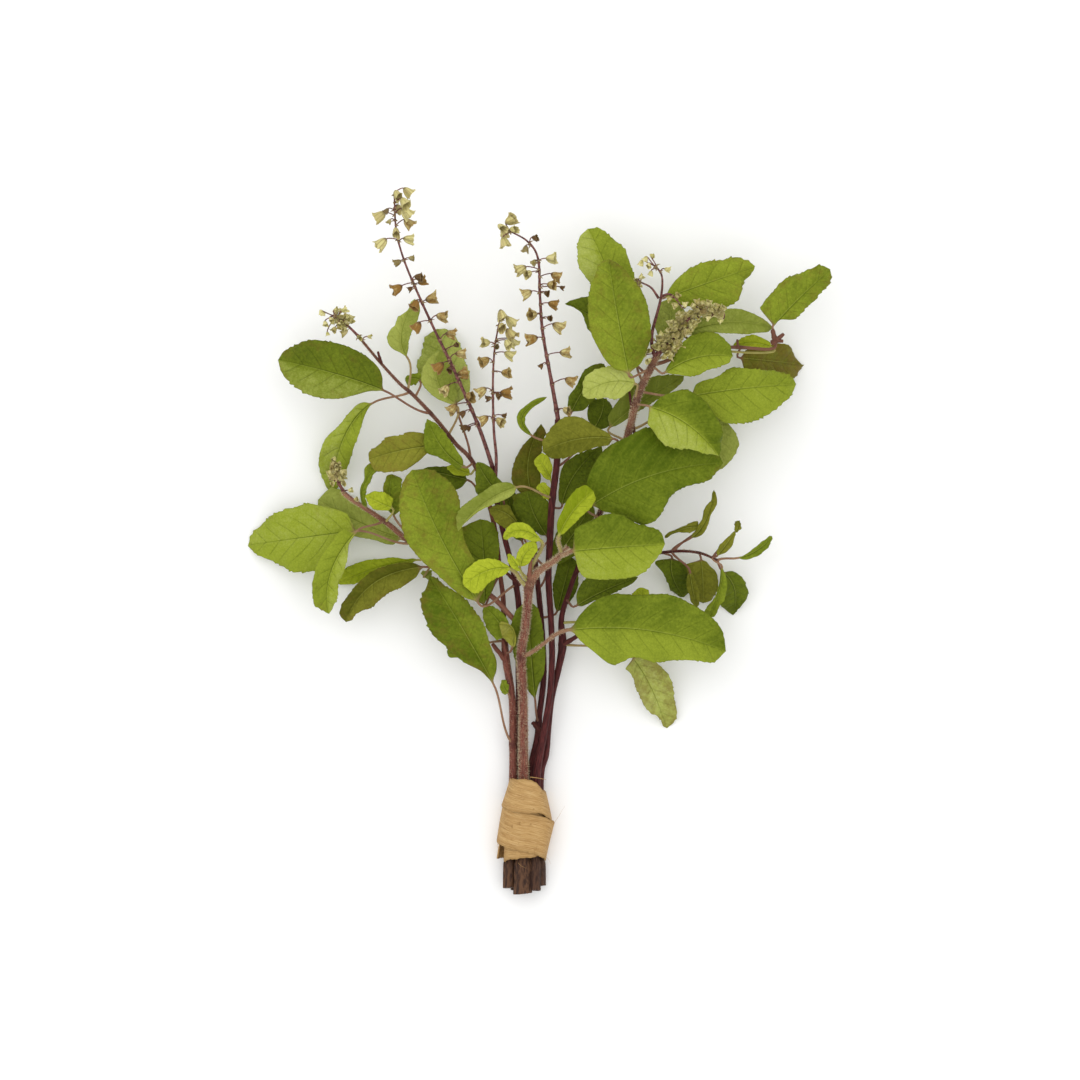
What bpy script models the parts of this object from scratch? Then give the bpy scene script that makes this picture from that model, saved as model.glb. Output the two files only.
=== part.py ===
"""Holy basil bunch, cut and tied, lying on a flat surface.

Six stems run through a wound strip of dried leaf fibre. They carry twigs, forty-two leaves and
seven flower spikes. The frame is X to the right, Y along the stems towards the tips and Z up
from the surface. The origin is in the middle of the flat underside of the tie. The tables
below give places and sizes in millimetres, and MM turns them into metres.
"""

import math
from collections import namedtuple

import bmesh
import bpy
from mathutils import Matrix, Vector

MM = 0.001
GAP = 0.3  # clear space between pieces that touch on the real plant

PETIOLE_RADIUS = 0.5
PETIOLE_RINGS = 4
PETIOLE_REACH = 0.3  # how far the curve's inner points lie from its ends, as a share of its length
PETIOLE_RISE = 0.45  # how much of its first direction is straight out of the stem
BLADE_THICKNESS = 0.8
BLADE_STATIONS = (0.04, 0.14, 0.28, 0.43, 0.58, 0.72, 0.85, 0.95)
BLADE_SHOULDER = 0.35  # share of the half width that is at full thickness
RING_SIDES = 6

STEM_STEPS = 2  # points between two points of a stem's table
PEDICEL_RADIUS = 0.35
CALYX_LENGTH = 3.6
CALYX_MOUTH_RADIUS = 1.7
CALYX_SIDES = 5
PEDICEL_RISE = 1.4  # a flower's stalk leaves the spike this far above the flower

TIE_WALL = 1.0
TIE_FLATTENED = 1.3  # how far the round section is cut off by the surface below
TIE_POINTS = 28
TIE_SQUARENESS = 2.4  # exponent of the section, 2 is an ellipse

FINISHES = {
    "leaf_green": ((0.16, 0.24, 0.03), 0.55),
    "leaf_dark": ((0.09, 0.15, 0.03), 0.5),
    "leaf_olive": ((0.22, 0.22, 0.05), 0.6),
    "leaf_pale": ((0.32, 0.39, 0.09), 0.65),
    "leaf_bright": ((0.38, 0.46, 0.04), 0.55),
    "stem_purple": ((0.08, 0.03, 0.035), 0.6),
    "stem_brown": ((0.21, 0.1, 0.075), 0.7),
    "calyx": ((0.45, 0.33, 0.14), 0.8),
    "dried_fibre": ((0.55, 0.38, 0.2), 0.85),
}

# Each stem's points from its lower end to its tip, with the radius there.
STEMS = {
    "stem_front": (
        "stem_brown",
        (
            (-0.6, -23.8, 7.6, 2.3),
            (-0.4, -4, 7.8, 2),
            (-0.2, 14.7, 8.4, 1.6),
            (-0.3, 27.3, 10.2, 1.5),
            (-0.3, 40.7, 12.8, 1.35),
            (-1, 55.7, 16.5, 1.4),
            (0.3, 64, 19, 1.3),
            (1.3, 74, 22.5, 1.3),
            (1.9, 80, 25, 1.55),
            (5.3, 84, 27.5, 1.05),
            (10.3, 87.3, 29.5, 0.8),
            (16, 94.7, 31.5, 0.5),
        ),
    ),
    "stem_left": (
        "stem_brown",
        (
            (-5, -21.5, 5.6, 1.6),
            (-4.6, -4, 5.6, 1.5),
            (-3.7, 14.7, 5.9, 1.3),
            (-3.8, 27.3, 7, 1.2),
            (-4, 40.7, 8.2, 1.15),
            (-6, 53.3, 9.8, 1.25),
            (-6.7, 63, 10.8, 0.95),
            (-7, 74, 12, 0.8),
            (-8, 82.3, 13, 0.75),
            (-9.7, 97.3, 15, 0.75),
            (-13.4, 112.6, 17.2, 0.75),
        ),
    ),
    "branch_upper_left": (
        "stem_purple",
        (
            (-14, 114.2, 17.6, 0.75),
            (-18, 121.3, 19, 0.72),
            (-23, 126.3, 20, 0.7),
            (-28, 132.7, 21, 0.68),
            (-33, 138.3, 22, 0.65),
            (-38, 143.3, 23, 0.6),
            (-41.3, 146, 23.5, 0.55),
            (-48, 153.3, 25, 0.5),
            (-54.3, 160.8, 26, 0.45),
        ),
    ),
    "stem_left_spikes": (
        "stem_purple",
        (
            (-2.6, -22.8, 3, 1.4),
            (-2.2, -4, 3, 1.35),
            (-1.6, 14.7, 3.2, 1.3),
            (-1.8, 27.3, 4.2, 1.25),
            (-1.7, 40.7, 5.6, 1.2),
            (-1.8, 55, 8.8, 1.15),
            (-1.7, 70.7, 13.5, 1.05),
            (-3.3, 82.3, 17, 1),
            (-6.3, 94, 20, 0.95),
            (-9, 106.7, 22.4, 0.9),
            (-10.6, 118.6, 24.2, 0.9),
        ),
    ),
    "stem_middle_spike": (
        "stem_purple",
        (
            (3.9, -22.5, 6.9, 1.5),
            (3.9, -4, 7, 1.45),
            (4.3, 14.7, 7.4, 1.35),
            (6.3, 27.3, 8.3, 1.2),
            (8.5, 40.7, 9.6, 1.1),
            (9.3, 52.3, 11, 1.05),
            (9.3, 60.7, 12.4, 1.05),
            (9, 67.3, 13.5, 1.05),
            (8.2, 80.7, 16, 1.1),
            (8.7, 95.7, 20, 1.15),
            (9.3, 105.7, 22.5, 1.15),
            (11, 120.7, 26, 1.1),
            (11.3, 134, 29, 1),
        ),
    ),
    "stem_right": (
        "stem_purple",
        (
            (5, -21, 3.2, 1.6),
            (5, -4, 3.4, 1.5),
            (5.3, 14.7, 3.9, 1.4),
            (7.2, 22, 4.3, 1.2),
            (8, 30.7, 5, 1.1),
            (9.2, 40.7, 5.9, 1.05),
            (11.5, 50.7, 7, 1.05),
            (12.9, 59, 8.2, 1.3),
            (12.6, 68, 10, 0.9),
            (15.3, 77.3, 12, 0.8),
            (17.7, 84, 14, 0.8),
            (26.5, 106, 21, 0.9),
            (34.3, 128.3, 28, 1.1),
            (38, 142.3, 31, 1.1),
            (42.7, 152.3, 33, 1.05),
            (44.3, 155.3, 33.6, 1),
        ),
    ),
    "stem_back": (
        "stem_purple",
        (
            (0.9, -23.2, 2.8, 1.3),
            (1.2, -4, 2.7, 1.25),
            (1.9, 14.7, 2.8, 1.2),
            (4.4, 27.3, 3.5, 1.1),
            (5, 34, 4, 1.05),
            (6.5, 47.3, 5.2, 1),
            (6.3, 60, 6, 0.95),
            (5, 75, 6.5, 0.95),
            (3.5, 90, 7, 0.9),
            (2.5, 108, 8, 0.9),
            (3, 122, 9, 0.85),
        ),
    ),
    "twig_left": (
        "stem_brown",
        (
            (-3.9, 68, 15.6, 0.85),
            (-10.3, 74.7, 15.8, 0.85),
            (-18, 80, 15, 0.85),
            (-28, 87, 14, 0.85),
            (-39, 94, 14, 0.85),
            (-46.3, 100, 14.5, 0.8),
            (-58.7, 108.3, 16, 0.7),
            (-60.5, 110.4, 16.4, 0.65),
        ),
    ),
    "twig_far_right": (
        "stem_purple",
        (
            (46.2, 153, 31, 0.6),
            (56, 156.6, 30.4, 0.55),
            (69, 158, 30, 0.55),
            (81.5, 157.4, 29, 0.5),
            (83.7, 159.2, 29, 0.45),
            (83, 163.3, 30, 0.4),
        ),
    ),
    "twig_low_right": (
        "stem_purple",
        (
            (20.6, 84.3, 13.2, 0.6),
            (30, 87, 11.5, 0.55),
            (38.7, 88.7, 12, 0.55),
            (45.7, 89.7, 13, 0.5),
            (52, 90.3, 14, 0.5),
            (58.7, 89.7, 15, 0.45),
            (64.7, 87.3, 16, 0.4),
        ),
    ),
}

# Each spike's points with the radius there, then the middle of each flower's calyx and its size
# as a share of a full-grown one.
SPIKES = {
    "spike_left": (
        (
            (-10.8, 119.3, 24.4, 0.8),
            (-15.3, 132.3, 26, 0.72),
            (-23, 150, 28.7, 0.65),
            (-29.3, 163, 30.5, 0.6),
            (-34.7, 174.7, 32, 0.55),
            (-39.7, 186.7, 33.3, 0.5),
            (-42.3, 196.7, 34, 0.45),
            (-43, 209, 34.5, 0.4),
        ),
        (
            (-19.7, 131.3, 27.5, 0.7),
            (-23.7, 137.7, 26, 0.9),
            (-18, 141.7, 29.5, 0.9),
            (-26, 144, 30.5, 0.9),
            (-20.6, 149, 27, 0.9),
            (-28, 151.7, 28.5, 0.9),
            (-21, 155.7, 31, 1),
            (-24.3, 162.3, 29, 1),
            (-35.3, 165, 30, 1),
            (-27.3, 168, 33, 1),
            (-35.9, 172, 34, 0.9),
            (-30.7, 174, 30, 1),
            (-42, 177.3, 32.5, 1),
            (-35, 181, 35.2, 0.7),
            (-37, 188, 35, 0.7),
            (-44, 187.3, 32, 0.7),
            (-47, 192.3, 35, 1),
            (-38.3, 193.6, 34, 0.9),
            (-42.3, 196, 37, 0.9),
            (-47.6, 201.3, 34, 1),
            (-39, 202.3, 36, 1),
            (-41.4, 208.3, 37, 0.9),
            (-40.3, 210.3, 33, 0.9),
        ),
    ),
    "spike_left_short": (
        (
            (-9.2, 121.2, 27.2, 0.6),
            (-10, 130.7, 29, 0.55),
            (-10.3, 145.7, 31, 0.5),
            (-9.7, 157.3, 32, 0.45),
            (-8, 167.3, 32.5, 0.4),
        ),
        (
            (-13.3, 134, 30, 0.9),
            (-8, 133.3, 32, 0.9),
            (-14, 143.3, 32, 0.9),
            (-6, 142.7, 31, 0.9),
            (-6, 149.3, 34, 0.8),
            (-13, 153.3, 33, 0.9),
            (-5, 155.4, 32, 0.9),
            (-12.6, 159.3, 34, 0.8),
            (-4.6, 162.3, 34, 0.9),
            (-8, 164.6, 35.6, 0.8),
            (-5.3, 167.4, 31, 0.9),
        ),
    ),
    "spike_middle": (
        (
            (11.2, 134.8, 29.2, 0.85),
            (9.3, 145.7, 31, 0.72),
            (6.3, 162.3, 33.4, 0.65),
            (5.3, 175, 35, 0.6),
            (4.7, 187, 36.4, 0.55),
            (1.3, 192.7, 37, 0.5),
            (-4.8, 196.3, 37.6, 0.4),
        ),
        (
            (14, 137, 31.5, 0.8),
            (15.3, 146.7, 32, 1),
            (5.7, 151.7, 33.5, 0.8),
            (13.7, 156, 33, 1),
            (2.6, 160.6, 33, 1),
            (11.3, 164.6, 34.6, 1),
            (3, 168.6, 36.4, 0.9),
            (9.6, 172, 36, 0.9),
            (1, 175.6, 35, 0.9),
            (9, 178.3, 38, 0.9),
            (10.6, 181.4, 35, 1),
            (1.6, 182, 38.6, 0.8),
            (9, 187, 37.4, 1),
            (-1, 183.6, 35, 1),
            (2.6, 193.6, 39, 0.7),
            (-5, 191.6, 37, 0.7),
            (-4.4, 200, 38, 1),
        ),
    ),
    "spike_right": (
        (
            (44.7, 156, 34.4, 0.85),
            (48, 159, 36, 0.75),
            (53, 165.6, 38, 0.65),
            (58.7, 170, 40, 0.6),
            (66, 169, 42, 0.5),
        ),
        (
            (41.7, 156.6, 37, 0.8),
            (45.6, 162, 36.6, 0.8),
            (51, 158.4, 37.4, 0.8),
            (48.6, 163.4, 39.6, 0.8),
            (54.4, 163, 39.4, 0.8),
            (51.4, 168.6, 38.6, 0.8),
            (57.6, 166.6, 41, 0.8),
            (56, 171.4, 42, 0.8),
            (61, 167.4, 42.6, 0.8),
            (61.4, 172, 40.4, 0.8),
            (65, 166.4, 43, 0.7),
        ),
    ),
    "spike_top_right": (
        (
            (42.4, 158.4, 35.4, 0.9),
            (42.6, 163.3, 35.4, 0.9),
            (45.3, 174, 36, 0.9),
            (45.7, 181, 37.2, 0.7),
            (43.7, 184.5, 38, 0.6),
        ),
        (
            (48.6, 182.3, 38, 0.8),
            (41.6, 181, 37.6, 0.9),
            (41, 186, 39, 0.9),
        ),
    ),
    "spike_upper_left": (
        (
            (-54.9, 161.6, 26.1, 0.56),
            (-60.7, 167.3, 27, 0.49),
            (-63, 168.7, 27.5, 0.42),
        ),
        (
            (-59, 161, 27.4, 0.9),
            (-52.6, 163.6, 28, 0.9),
            (-63, 164, 28.6, 0.9),
            (-60, 169.6, 29.4, 0.8),
            (-66, 169, 28, 0.9),
        ),
    ),
    "spike_left_bud": (
        (
            (-60.8, 111, 16.5, 0.63),
            (-62.3, 114, 17, 0.56),
            (-63, 119.7, 18, 0.42),
        ),
        (
            (-57.8, 112.4, 18, 0.8),
            (-64.8, 112, 18, 0.8),
            (-60.6, 116.6, 19.6, 0.8),
            (-65, 117.6, 17.6, 0.7),
        ),
    ),
}

Leaf = namedtuple("Leaf", "name stem joins base middle tip left right roll fold finish")

# A leaf's petiole leaves its stem nearest to joins. Its midrib runs from base over middle to tip.
# left and right are the half widths at BLADE_STATIONS, seen along that way. roll turns the blade
# about the midrib and fold lifts both halves, in degrees.
LEAVES = (
    Leaf("leaf_upper_left_large", "branch_upper_left", (-31, 137),
         (-46.3, 143.6, 25), (-62.8, 149.2, 28), (-82, 154, 22),
         (0.7, 2.4, 5.4, 8.4, 9.3, 8.8, 6.6, 3.5),
         (2.2, 6.4, 9.1, 10.3, 10.3, 9.5, 6.9, 4.1), 0, 12, "leaf_dark"),
    Leaf("leaf_upper_left_hanging", "branch_upper_left", (-38.3, 143.6),
         (-50.5, 139.8, 17), (-59.9, 128.8, 14), (-65.1, 110.2, 0.1),
         (0.3, 1.2, 3, 3.9, 4.7, 4.6, 4.1, 2.3),
         (1.3, 2.9, 2.8, 3.6, 6.2, 5.9, 4.7, 2.2), 0, 12, "leaf_green"),
    Leaf("leaf_upper_left_pale", "branch_upper_left", (-38.6, 143.8),
         (-39.1, 155.1, 18), (-41.1, 163.1, 19), (-36.5, 174.6, 16),
         (0.3, 1.3, 3.6, 4.5, 2.6, 2.4, 0.5, 0.6),
         (0.7, 1.9, 2.8, 3.3, 3.8, 4.2, 3.9, 2.9), 0, 10, "leaf_pale"),
    Leaf("leaf_behind_left_spike", "branch_upper_left", (-18, 121.6),
         (-22.8, 139.2, 13), (-25.5, 152.1, 8), (-29.4, 165.1, 0.1),
         (2.9, 7, 9.2, 10.3, 10.3, 8.4, 6.4, 3.8),
         (3.2, 5.9, 6.6, 6.5, 6, 5.9, 5.1, 2.6), 0, 10, "leaf_dark"),
    Leaf("leaf_upper_left_cupped", "branch_upper_left", (-25, 129),
         (-22.7, 139.1, 17), (-29.1, 147.5, 16), (-28.1, 157.3, 14),
         (0.8, 2, 3.6, 4.9, 5.1, 4.2, 2.5, 1),
         (2.8, 4.1, 5.1, 5.6, 5.7, 5.5, 4.9, 3.8), 0, 16, "leaf_pale"),
    Leaf("leaf_left_brown", "branch_upper_left", (-24, 127.3),
         (-30.7, 125.3, 22), (-41.3, 123.7, 23), (-51.8, 120.7, 18),
         (1.4, 3.3, 5.4, 6.5, 6.6, 6.3, 5.5, 4.2),
         (3.3, 5.2, 5.8, 5.2, 5.4, 4.5, 3.7, 2.6), 0, 10, "leaf_olive"),
    Leaf("leaf_left_narrow", "branch_upper_left", (-17, 120),
         (-20, 118.3, 22), (-27, 124.3, 24), (-32.3, 134.3, 25.6),
         (1.8, 1.6, 1.9, 2.9, 5.2, 4.4, 2.5, 0.9),
         (1.3, 2.5, 3.1, 3.7, 3.9, 3.7, 2.7, 1.3), 0, 12, "leaf_green"),
    Leaf("leaf_centre_left_large", "stem_left_spikes", (-2.8, 79),
         (-15, 72.7, 24), (-27.9, 95.3, 31), (-37.2, 117.3, 29),
         (1.8, 4.4, 7, 9.6, 10.9, 9.4, 7.2, 3.8),
         (4.4, 6.9, 6.6, 7.4, 10.2, 11.6, 9.9, 6), 0, 12, "leaf_green"),
    Leaf("leaf_centre_grey", "stem_middle_spike", (9.4, 108),
         (-2, 111.6, 32), (-12.9, 106.3, 34), (-21.8, 97, 34),
         (1.2, 2.4, 2.7, 2, 1.2, 0.6, 0.3, 0.3),
         (1.3, 3, 3.7, 3.6, 3.8, 4.3, 3.6, 1.8), 0, 12, "leaf_pale"),
    Leaf("leaf_centre_dark", "stem_left_spikes", (-8, 100.7),
         (-7.6, 108.6, 26), (-11.9, 113.6, 28), (-15.6, 119.9, 29),
         (1.4, 2.8, 4.9, 5.6, 4.5, 3.1, 1.8, 0.9),
         (2.9, 3.4, 3.7, 3.5, 3.4, 3.2, 2.4, 1.3), 0, 10, "leaf_dark"),
    Leaf("leaf_far_left", "twig_left", (-38, 93),
         (-55.9, 97, 14), (-73.4, 94.7, 12), (-93.1, 92, 0.1),
         (2, 5.6, 9.1, 11.4, 11.2, 8.8, 5.4, 2.3),
         (5.1, 7.8, 9.8, 11.6, 10.9, 9.3, 7.4, 3.7), 0, 8, "leaf_green"),
    Leaf("leaf_far_left_under", "twig_left", (-39, 94),
         (-41, 94.3, 9.6), (-55.1, 99.7, 7), (-69.4, 107.5, 2),
         (2.4, 3.4, 3.4, 4.5, 5.4, 4.4, 3.1, 2.3),
         (1.6, 2.9, 4, 4.7, 5.3, 6, 6.8, 5.6), 0, 6, "leaf_pale"),
    Leaf("leaf_far_left_rolled", "twig_left", (-47, 100.7),
         (-55.8, 97, 19), (-64.3, 83.3, 22), (-65.2, 69.3, 17),
         (0.5, 0.9, 3.2, 4, 3.5, 3.6, 3.2, 1.6),
         (3.1, 4.7, 4.8, 5.8, 5.6, 5.5, 4.8, 1.5), 10, 12, "leaf_green"),
    Leaf("leaf_left_low_pale", "twig_left", (-28, 87),
         (-35.6, 87.3, 9), (-49.1, 84.6, 7), (-62.7, 79.2, 2),
         (0.4, 1.9, 2.8, 2.6, 2.6, 2.7, 2.2, 1.1),
         (0.8, 0.9, 2, 2.8, 3.7, 4.1, 3.9, 1.8), 0, 6, "leaf_bright"),
    Leaf("leaf_left_low_olive", "twig_left", (-24.7, 84.7),
         (-33.4, 85, 18), (-50.1, 79.6, 18), (-59.7, 66.5, 11),
         (2.4, 4.5, 5.7, 5.5, 5.9, 5.7, 2.7, 1.8),
         (1.3, 2.5, 3.1, 3.6, 3.8, 3.5, 3.7, 2.9), 0, 12, "leaf_olive"),
    Leaf("leaf_front_left_low", "stem_left", (-3.7, 25.7),
         (-10.1, 45.5, 15), (-20.7, 64.7, 21), (-31.7, 82, 19),
         (0.5, 2.1, 5.7, 7.8, 9.7, 9.1, 7.1, 1.9),
         (1.5, 4.8, 5.7, 6.9, 6.7, 5.7, 3.1, 1.8), 0, 10, "leaf_green"),
    Leaf("leaf_between_stems", "stem_back", (5.3, 33.3),
         (3.7, 40.3, 8.8), (2.3, 55.5, 12.8), (1.3, 73.6, 19.4),
         (0.7, 2.4, 4, 5.4, 6.3, 6.5, 5.5, 3),
         (0.4, 1.7, 3.6, 4.6, 4.9, 4.8, 4.1, 2.7), 0, 0, "leaf_dark"),
    Leaf("leaf_young_left", "stem_front", (1, 79),
         (-4.3, 84.4, 29), (-12.3, 83.7, 31), (-19.9, 78.7, 30),
         (0.9, 2.3, 3.1, 3.6, 4.4, 5, 5.1, 3.9),
         (0.9, 1.9, 3, 4.1, 4.7, 4.3, 3.5, 1.6), 0, 14, "leaf_bright"),
    Leaf("leaf_young_top", "stem_front", (2, 80.5),
         (5.7, 93.7, 31.5), (-1, 97, 35.5), (-6.6, 94.3, 31),
         (1.1, 2.3, 2.5, 2.5, 2.3, 1.8, 1.3, 0.9),
         (0.5, 1.1, 2.1, 2.9, 3, 2.6, 1.8, 1.1), 0, 20, "leaf_bright"),
    Leaf("leaf_young_right", "stem_front", (12.7, 90),
         (11, 94.7, 34), (14.6, 103.9, 37), (23.2, 108.9, 37),
         (0.9, 1.7, 2, 2.6, 3.6, 4.1, 4.1, 3.5),
         (1.4, 2.8, 3, 2.6, 2.2, 2.3, 2.6, 2.6), 0, 14, "leaf_bright"),
    Leaf("leaf_right_front", "stem_front", (12, 89),
         (15.9, 90.4, 34), (30.1, 91.7, 38), (46.8, 92.7, 33),
         (5.8, 8.6, 9.6, 11.3, 10.7, 7.9, 6, 4.2),
         (3.9, 9, 10.6, 10.8, 10.8, 9.8, 6.4, 3.1), 0, 10, "leaf_green"),
    Leaf("leaf_right_largest", "stem_front", (-0.7, 55),
         (14.3, 64, 24), (41.2, 64.1, 27), (67.4, 56.9, 19),
         (2.1, 7.1, 11.2, 11.4, 13.4, 11.4, 8.7, 4.3),
         (2.2, 7.2, 12.7, 9.4, 10.5, 8.8, 6.2, 4.8), 0, 8, "leaf_green"),
    Leaf("leaf_right_hanging", "stem_right", (12.9, 59),
         (36.4, 54.9, 16), (42.9, 44.4, 10), (48.1, 30.6, 0.1),
         (3, 5, 6.2, 6.9, 6.2, 5.8, 5.1, 3),
         (4.4, 4.4, 4.2, 4.9, 4.9, 4.5, 1.8, 1.2), 0, 8, "leaf_pale"),
    Leaf("leaf_top_back", "stem_right", (39.6, 146),
         (34.3, 166.5, 27), (27.3, 184.5, 26), (21.3, 197.8, 20),
         (1.8, 4.1, 5.9, 6.9, 8.4, 7.3, 6, 3.4),
         (2.5, 5.5, 7.7, 8, 8.2, 6.7, 5.2, 2.6), 0, 8, "leaf_green"),
    Leaf("leaf_top_front", "stem_right", (41.6, 150),
         (34.8, 148.3, 37), (30.8, 168.3, 41), (27.9, 187.1, 35),
         (2.8, 6.2, 8.7, 10.1, 9.4, 8, 5.4, 3.6),
         (3, 7, 9.9, 10.7, 10.6, 8.3, 5.1, 2.5), 0, 12, "leaf_green"),
    Leaf("leaf_top_right_broad", "spike_top_right", (45.3, 174),
         (46.5, 174.3, 32), (60.5, 179.4, 28), (77, 185.3, 22),
         (1.3, 3.6, 5.4, 6.6, 6.9, 5.7, 5.3, 2.7),
         (0.9, 3.9, 6.4, 8.2, 9.9, 9, 4.2, 2.1), 0, 8, "leaf_green"),
    Leaf("leaf_top_right_pale", "twig_far_right", (60, 157.4),
         (53.1, 162.6, 33), (67.7, 166.3, 33), (82.7, 164.4, 30),
         (0.6, 2.3, 3.7, 4.4, 4.3, 3.6, 2.4, 1),
         (1.9, 2.5, 3, 3.7, 4.1, 3.8, 3, 1.9), 0, 10, "leaf_pale"),
    Leaf("leaf_far_right_top", "twig_far_right", (83, 163),
         (82.6, 165, 32), (90.7, 173.7, 30), (102, 184.3, 22),
         (6.9, 7.7, 8.1, 8.3, 7.8, 6, 4.4, 3),
         (0.4, 0.7, 3.6, 4.2, 4.5, 4.1, 4, 2.4), 0, 12, "leaf_green"),
    Leaf("leaf_far_right_brown", "twig_far_right", (72, 158),
         (72, 154.7, 22), (83, 153.9, 14), (94.3, 153, 0.1),
         (2.2, 3.5, 4.3, 5.2, 6.2, 5.5, 3, 0.3),
         (3.1, 4.7, 6.1, 6.6, 6.9, 6.2, 4, 1.4), 0, 8, "leaf_olive"),
    Leaf("leaf_upper_right_broad", "stem_right", (38.5, 143.5),
         (55.2, 141.9, 27), (72.5, 144.5, 27), (90.9, 146.1, 17),
         (2.9, 4.4, 4.8, 7.6, 6.2, 5.4, 4.6, 2.6),
         (1.5, 5.2, 10.7, 11.8, 11.6, 9.8, 5.8, 3.1), 0, 8, "leaf_green"),
    Leaf("leaf_upper_right_oval", "stem_right", (42.5, 151.5),
         (46.4, 149.3, 33.6), (57.3, 154.6, 34.4), (69.3, 155, 33),
         (0.7, 2.2, 4.5, 6.7, 7.9, 7.7, 5.8, 2.4),
         (1.3, 3.2, 5.3, 6.1, 5.5, 5, 3.9, 2.1), 0, 10, "leaf_green"),
    Leaf("leaf_upper_right_two_tone", "stem_right", (37.3, 139),
         (41.1, 138.4, 36), (54.2, 132.3, 40), (64.6, 121.8, 34),
         (0.4, 5.1, 9.5, 9.9, 9, 7.5, 5, 2),
         (5.3, 7.5, 9.3, 10.1, 9, 5.9, 3.4, 1.1), 0, 12, "leaf_green"),
    Leaf("leaf_right_behind", "stem_right", (34.7, 130),
         (57.7, 139.3, 22), (64.1, 127.4, 18), (62.3, 115.1, 10),
         (1.9, 3.3, 4.7, 6.9, 7.4, 5.3, 2.3, 0.7),
         (1.8, 4, 5.6, 6.2, 6.1, 5.7, 4.5, 3), 0, 6, "leaf_pale"),
    Leaf("leaf_right_toothed", "stem_right", (25, 102),
         (21.6, 105, 28), (42.5, 115.5, 33), (66.2, 119.6, 27),
         (4.3, 9.6, 13.9, 15, 15.6, 9.3, 7.7, 4.6),
         (2.4, 7.2, 13.9, 14.6, 9, 6.8, 5.6, 2.9), 0, 8, "leaf_green"),
    Leaf("leaf_upper_right_bright", "stem_right", (37.4, 141),
         (37.2, 145.7, 33.4), (27.9, 146, 34.6), (19.6, 141.7, 33.6),
         (2.3, 3.8, 5.6, 5.8, 5, 4.3, 3.3, 2.1),
         (1.9, 3.6, 4.7, 5.5, 5.5, 5.5, 4.2, 1.4), 0, 10, "leaf_pale"),
    Leaf("leaf_behind_middle_spike", "stem_middle_spike", (11.2, 132),
         (15.7, 136.3, 24), (20, 144.3, 22), (26.7, 152.8, 19),
         (1.5, 2.5, 3.3, 2.9, 3.3, 3.5, 2.9, 1.4),
         (0.8, 3.2, 4.4, 5, 5, 4.5, 3.6, 2.6), 0, 8, "leaf_dark"),
    Leaf("leaf_middle_olive", "stem_right", (33, 125),
         (29.9, 127.5, 34), (17.9, 127.4, 35.4), (6.3, 123.2, 34),
         (2.3, 2.9, 3.6, 4.4, 4.9, 5.1, 4.5, 3),
         (1, 2.5, 4.5, 7.2, 8.2, 6.9, 5.1, 2.6), 0, 10, "leaf_olive"),
    Leaf("leaf_middle_brown", "stem_back", (2.7, 100),
         (3.7, 106.7, 13), (1.3, 119.4, 14), (5.7, 132.9, 12),
         (1.1, 3.3, 5.4, 5.1, 4.3, 2.7, 0.8, 0.3),
         (1.4, 3.1, 4.2, 4.5, 4.2, 3.7, 3.2, 2.7), 0, 6, "leaf_olive"),
    Leaf("leaf_low_right_twisted", "twig_low_right", (49, 90),
         (55.8, 94.7, 16), (60.7, 100.7, 19), (63.4, 110.7, 18),
         (0.7, 1.1, 1.2, 1.2, 1.7, 1.8, 0.3, 0.4),
         (0.4, 1.4, 2, 1.5, 0.8, 1.6, 1.9, 0.9), 12, 10, "leaf_olive"),
    Leaf("leaf_low_right_dark", "twig_low_right", (47, 90),
         (49.6, 88, 10), (50, 81.6, 7), (53.8, 74.8, 2),
         (4.4, 5, 5.7, 6.2, 6.1, 5.8, 5.3, 3.6),
         (2.2, 5.5, 3.5, 2.8, 2.6, 2.5, 1.9, 1), 0, 6, "leaf_dark"),
    Leaf("leaf_low_right_rounded", "twig_low_right", (58.7, 89.7),
         (59.3, 87.6, 12), (60, 80.6, 9), (60.1, 72.8, 5),
         (1.4, 2.7, 4.1, 5, 5, 4.6, 3.9, 2.6),
         (5.1, 5.3, 5.4, 5.1, 4.8, 4.3, 3.2, 1.7), 0, 6, "leaf_olive"),
    Leaf("leaf_low_right_tip", "twig_low_right", (64.5, 87.4),
         (66.6, 83.3, 14), (70.8, 77.2, 8), (70.4, 68.7, 0.1),
         (0.9, 2.6, 3.6, 3.9, 4.5, 3.4, 1.3, 0.5),
         (2.6, 3.9, 4.8, 5.3, 5.5, 5.4, 4.7, 2.8), 0, 6, "leaf_dark"),
)

# The wound strip from its upper to its lower edge: Y, left side, right side and top.
TIE_STATIONS = (
    (14.3, -6.4, 8, 12.2),
    (8, -7.3, 9, 12.6),
    (1, -8.6, 9.8, 13.4),
    (-5, -9.2, 10, 13.6),
    (-9, -8.8, 9.2, 13.2),
    (-13, -8.2, 8.4, 12.6),
)


def clear_scene():
    """Removes what a new file holds."""
    for thing in list(bpy.data.objects):
        bpy.data.objects.remove(thing, do_unlink=True)


def new_material(name):
    """A Principled material from the FINISHES table."""
    colour, roughness = FINISHES[name]
    material = bpy.data.materials.new(name)
    material.use_nodes = True
    shader = material.node_tree.nodes["Principled BSDF"]
    shader.inputs["Base Color"].default_value = (*colour, 1)
    shader.inputs["Roughness"].default_value = roughness
    shader.inputs["Metallic"].default_value = 0
    material.diffuse_color = (*colour, 1)
    return material


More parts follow.
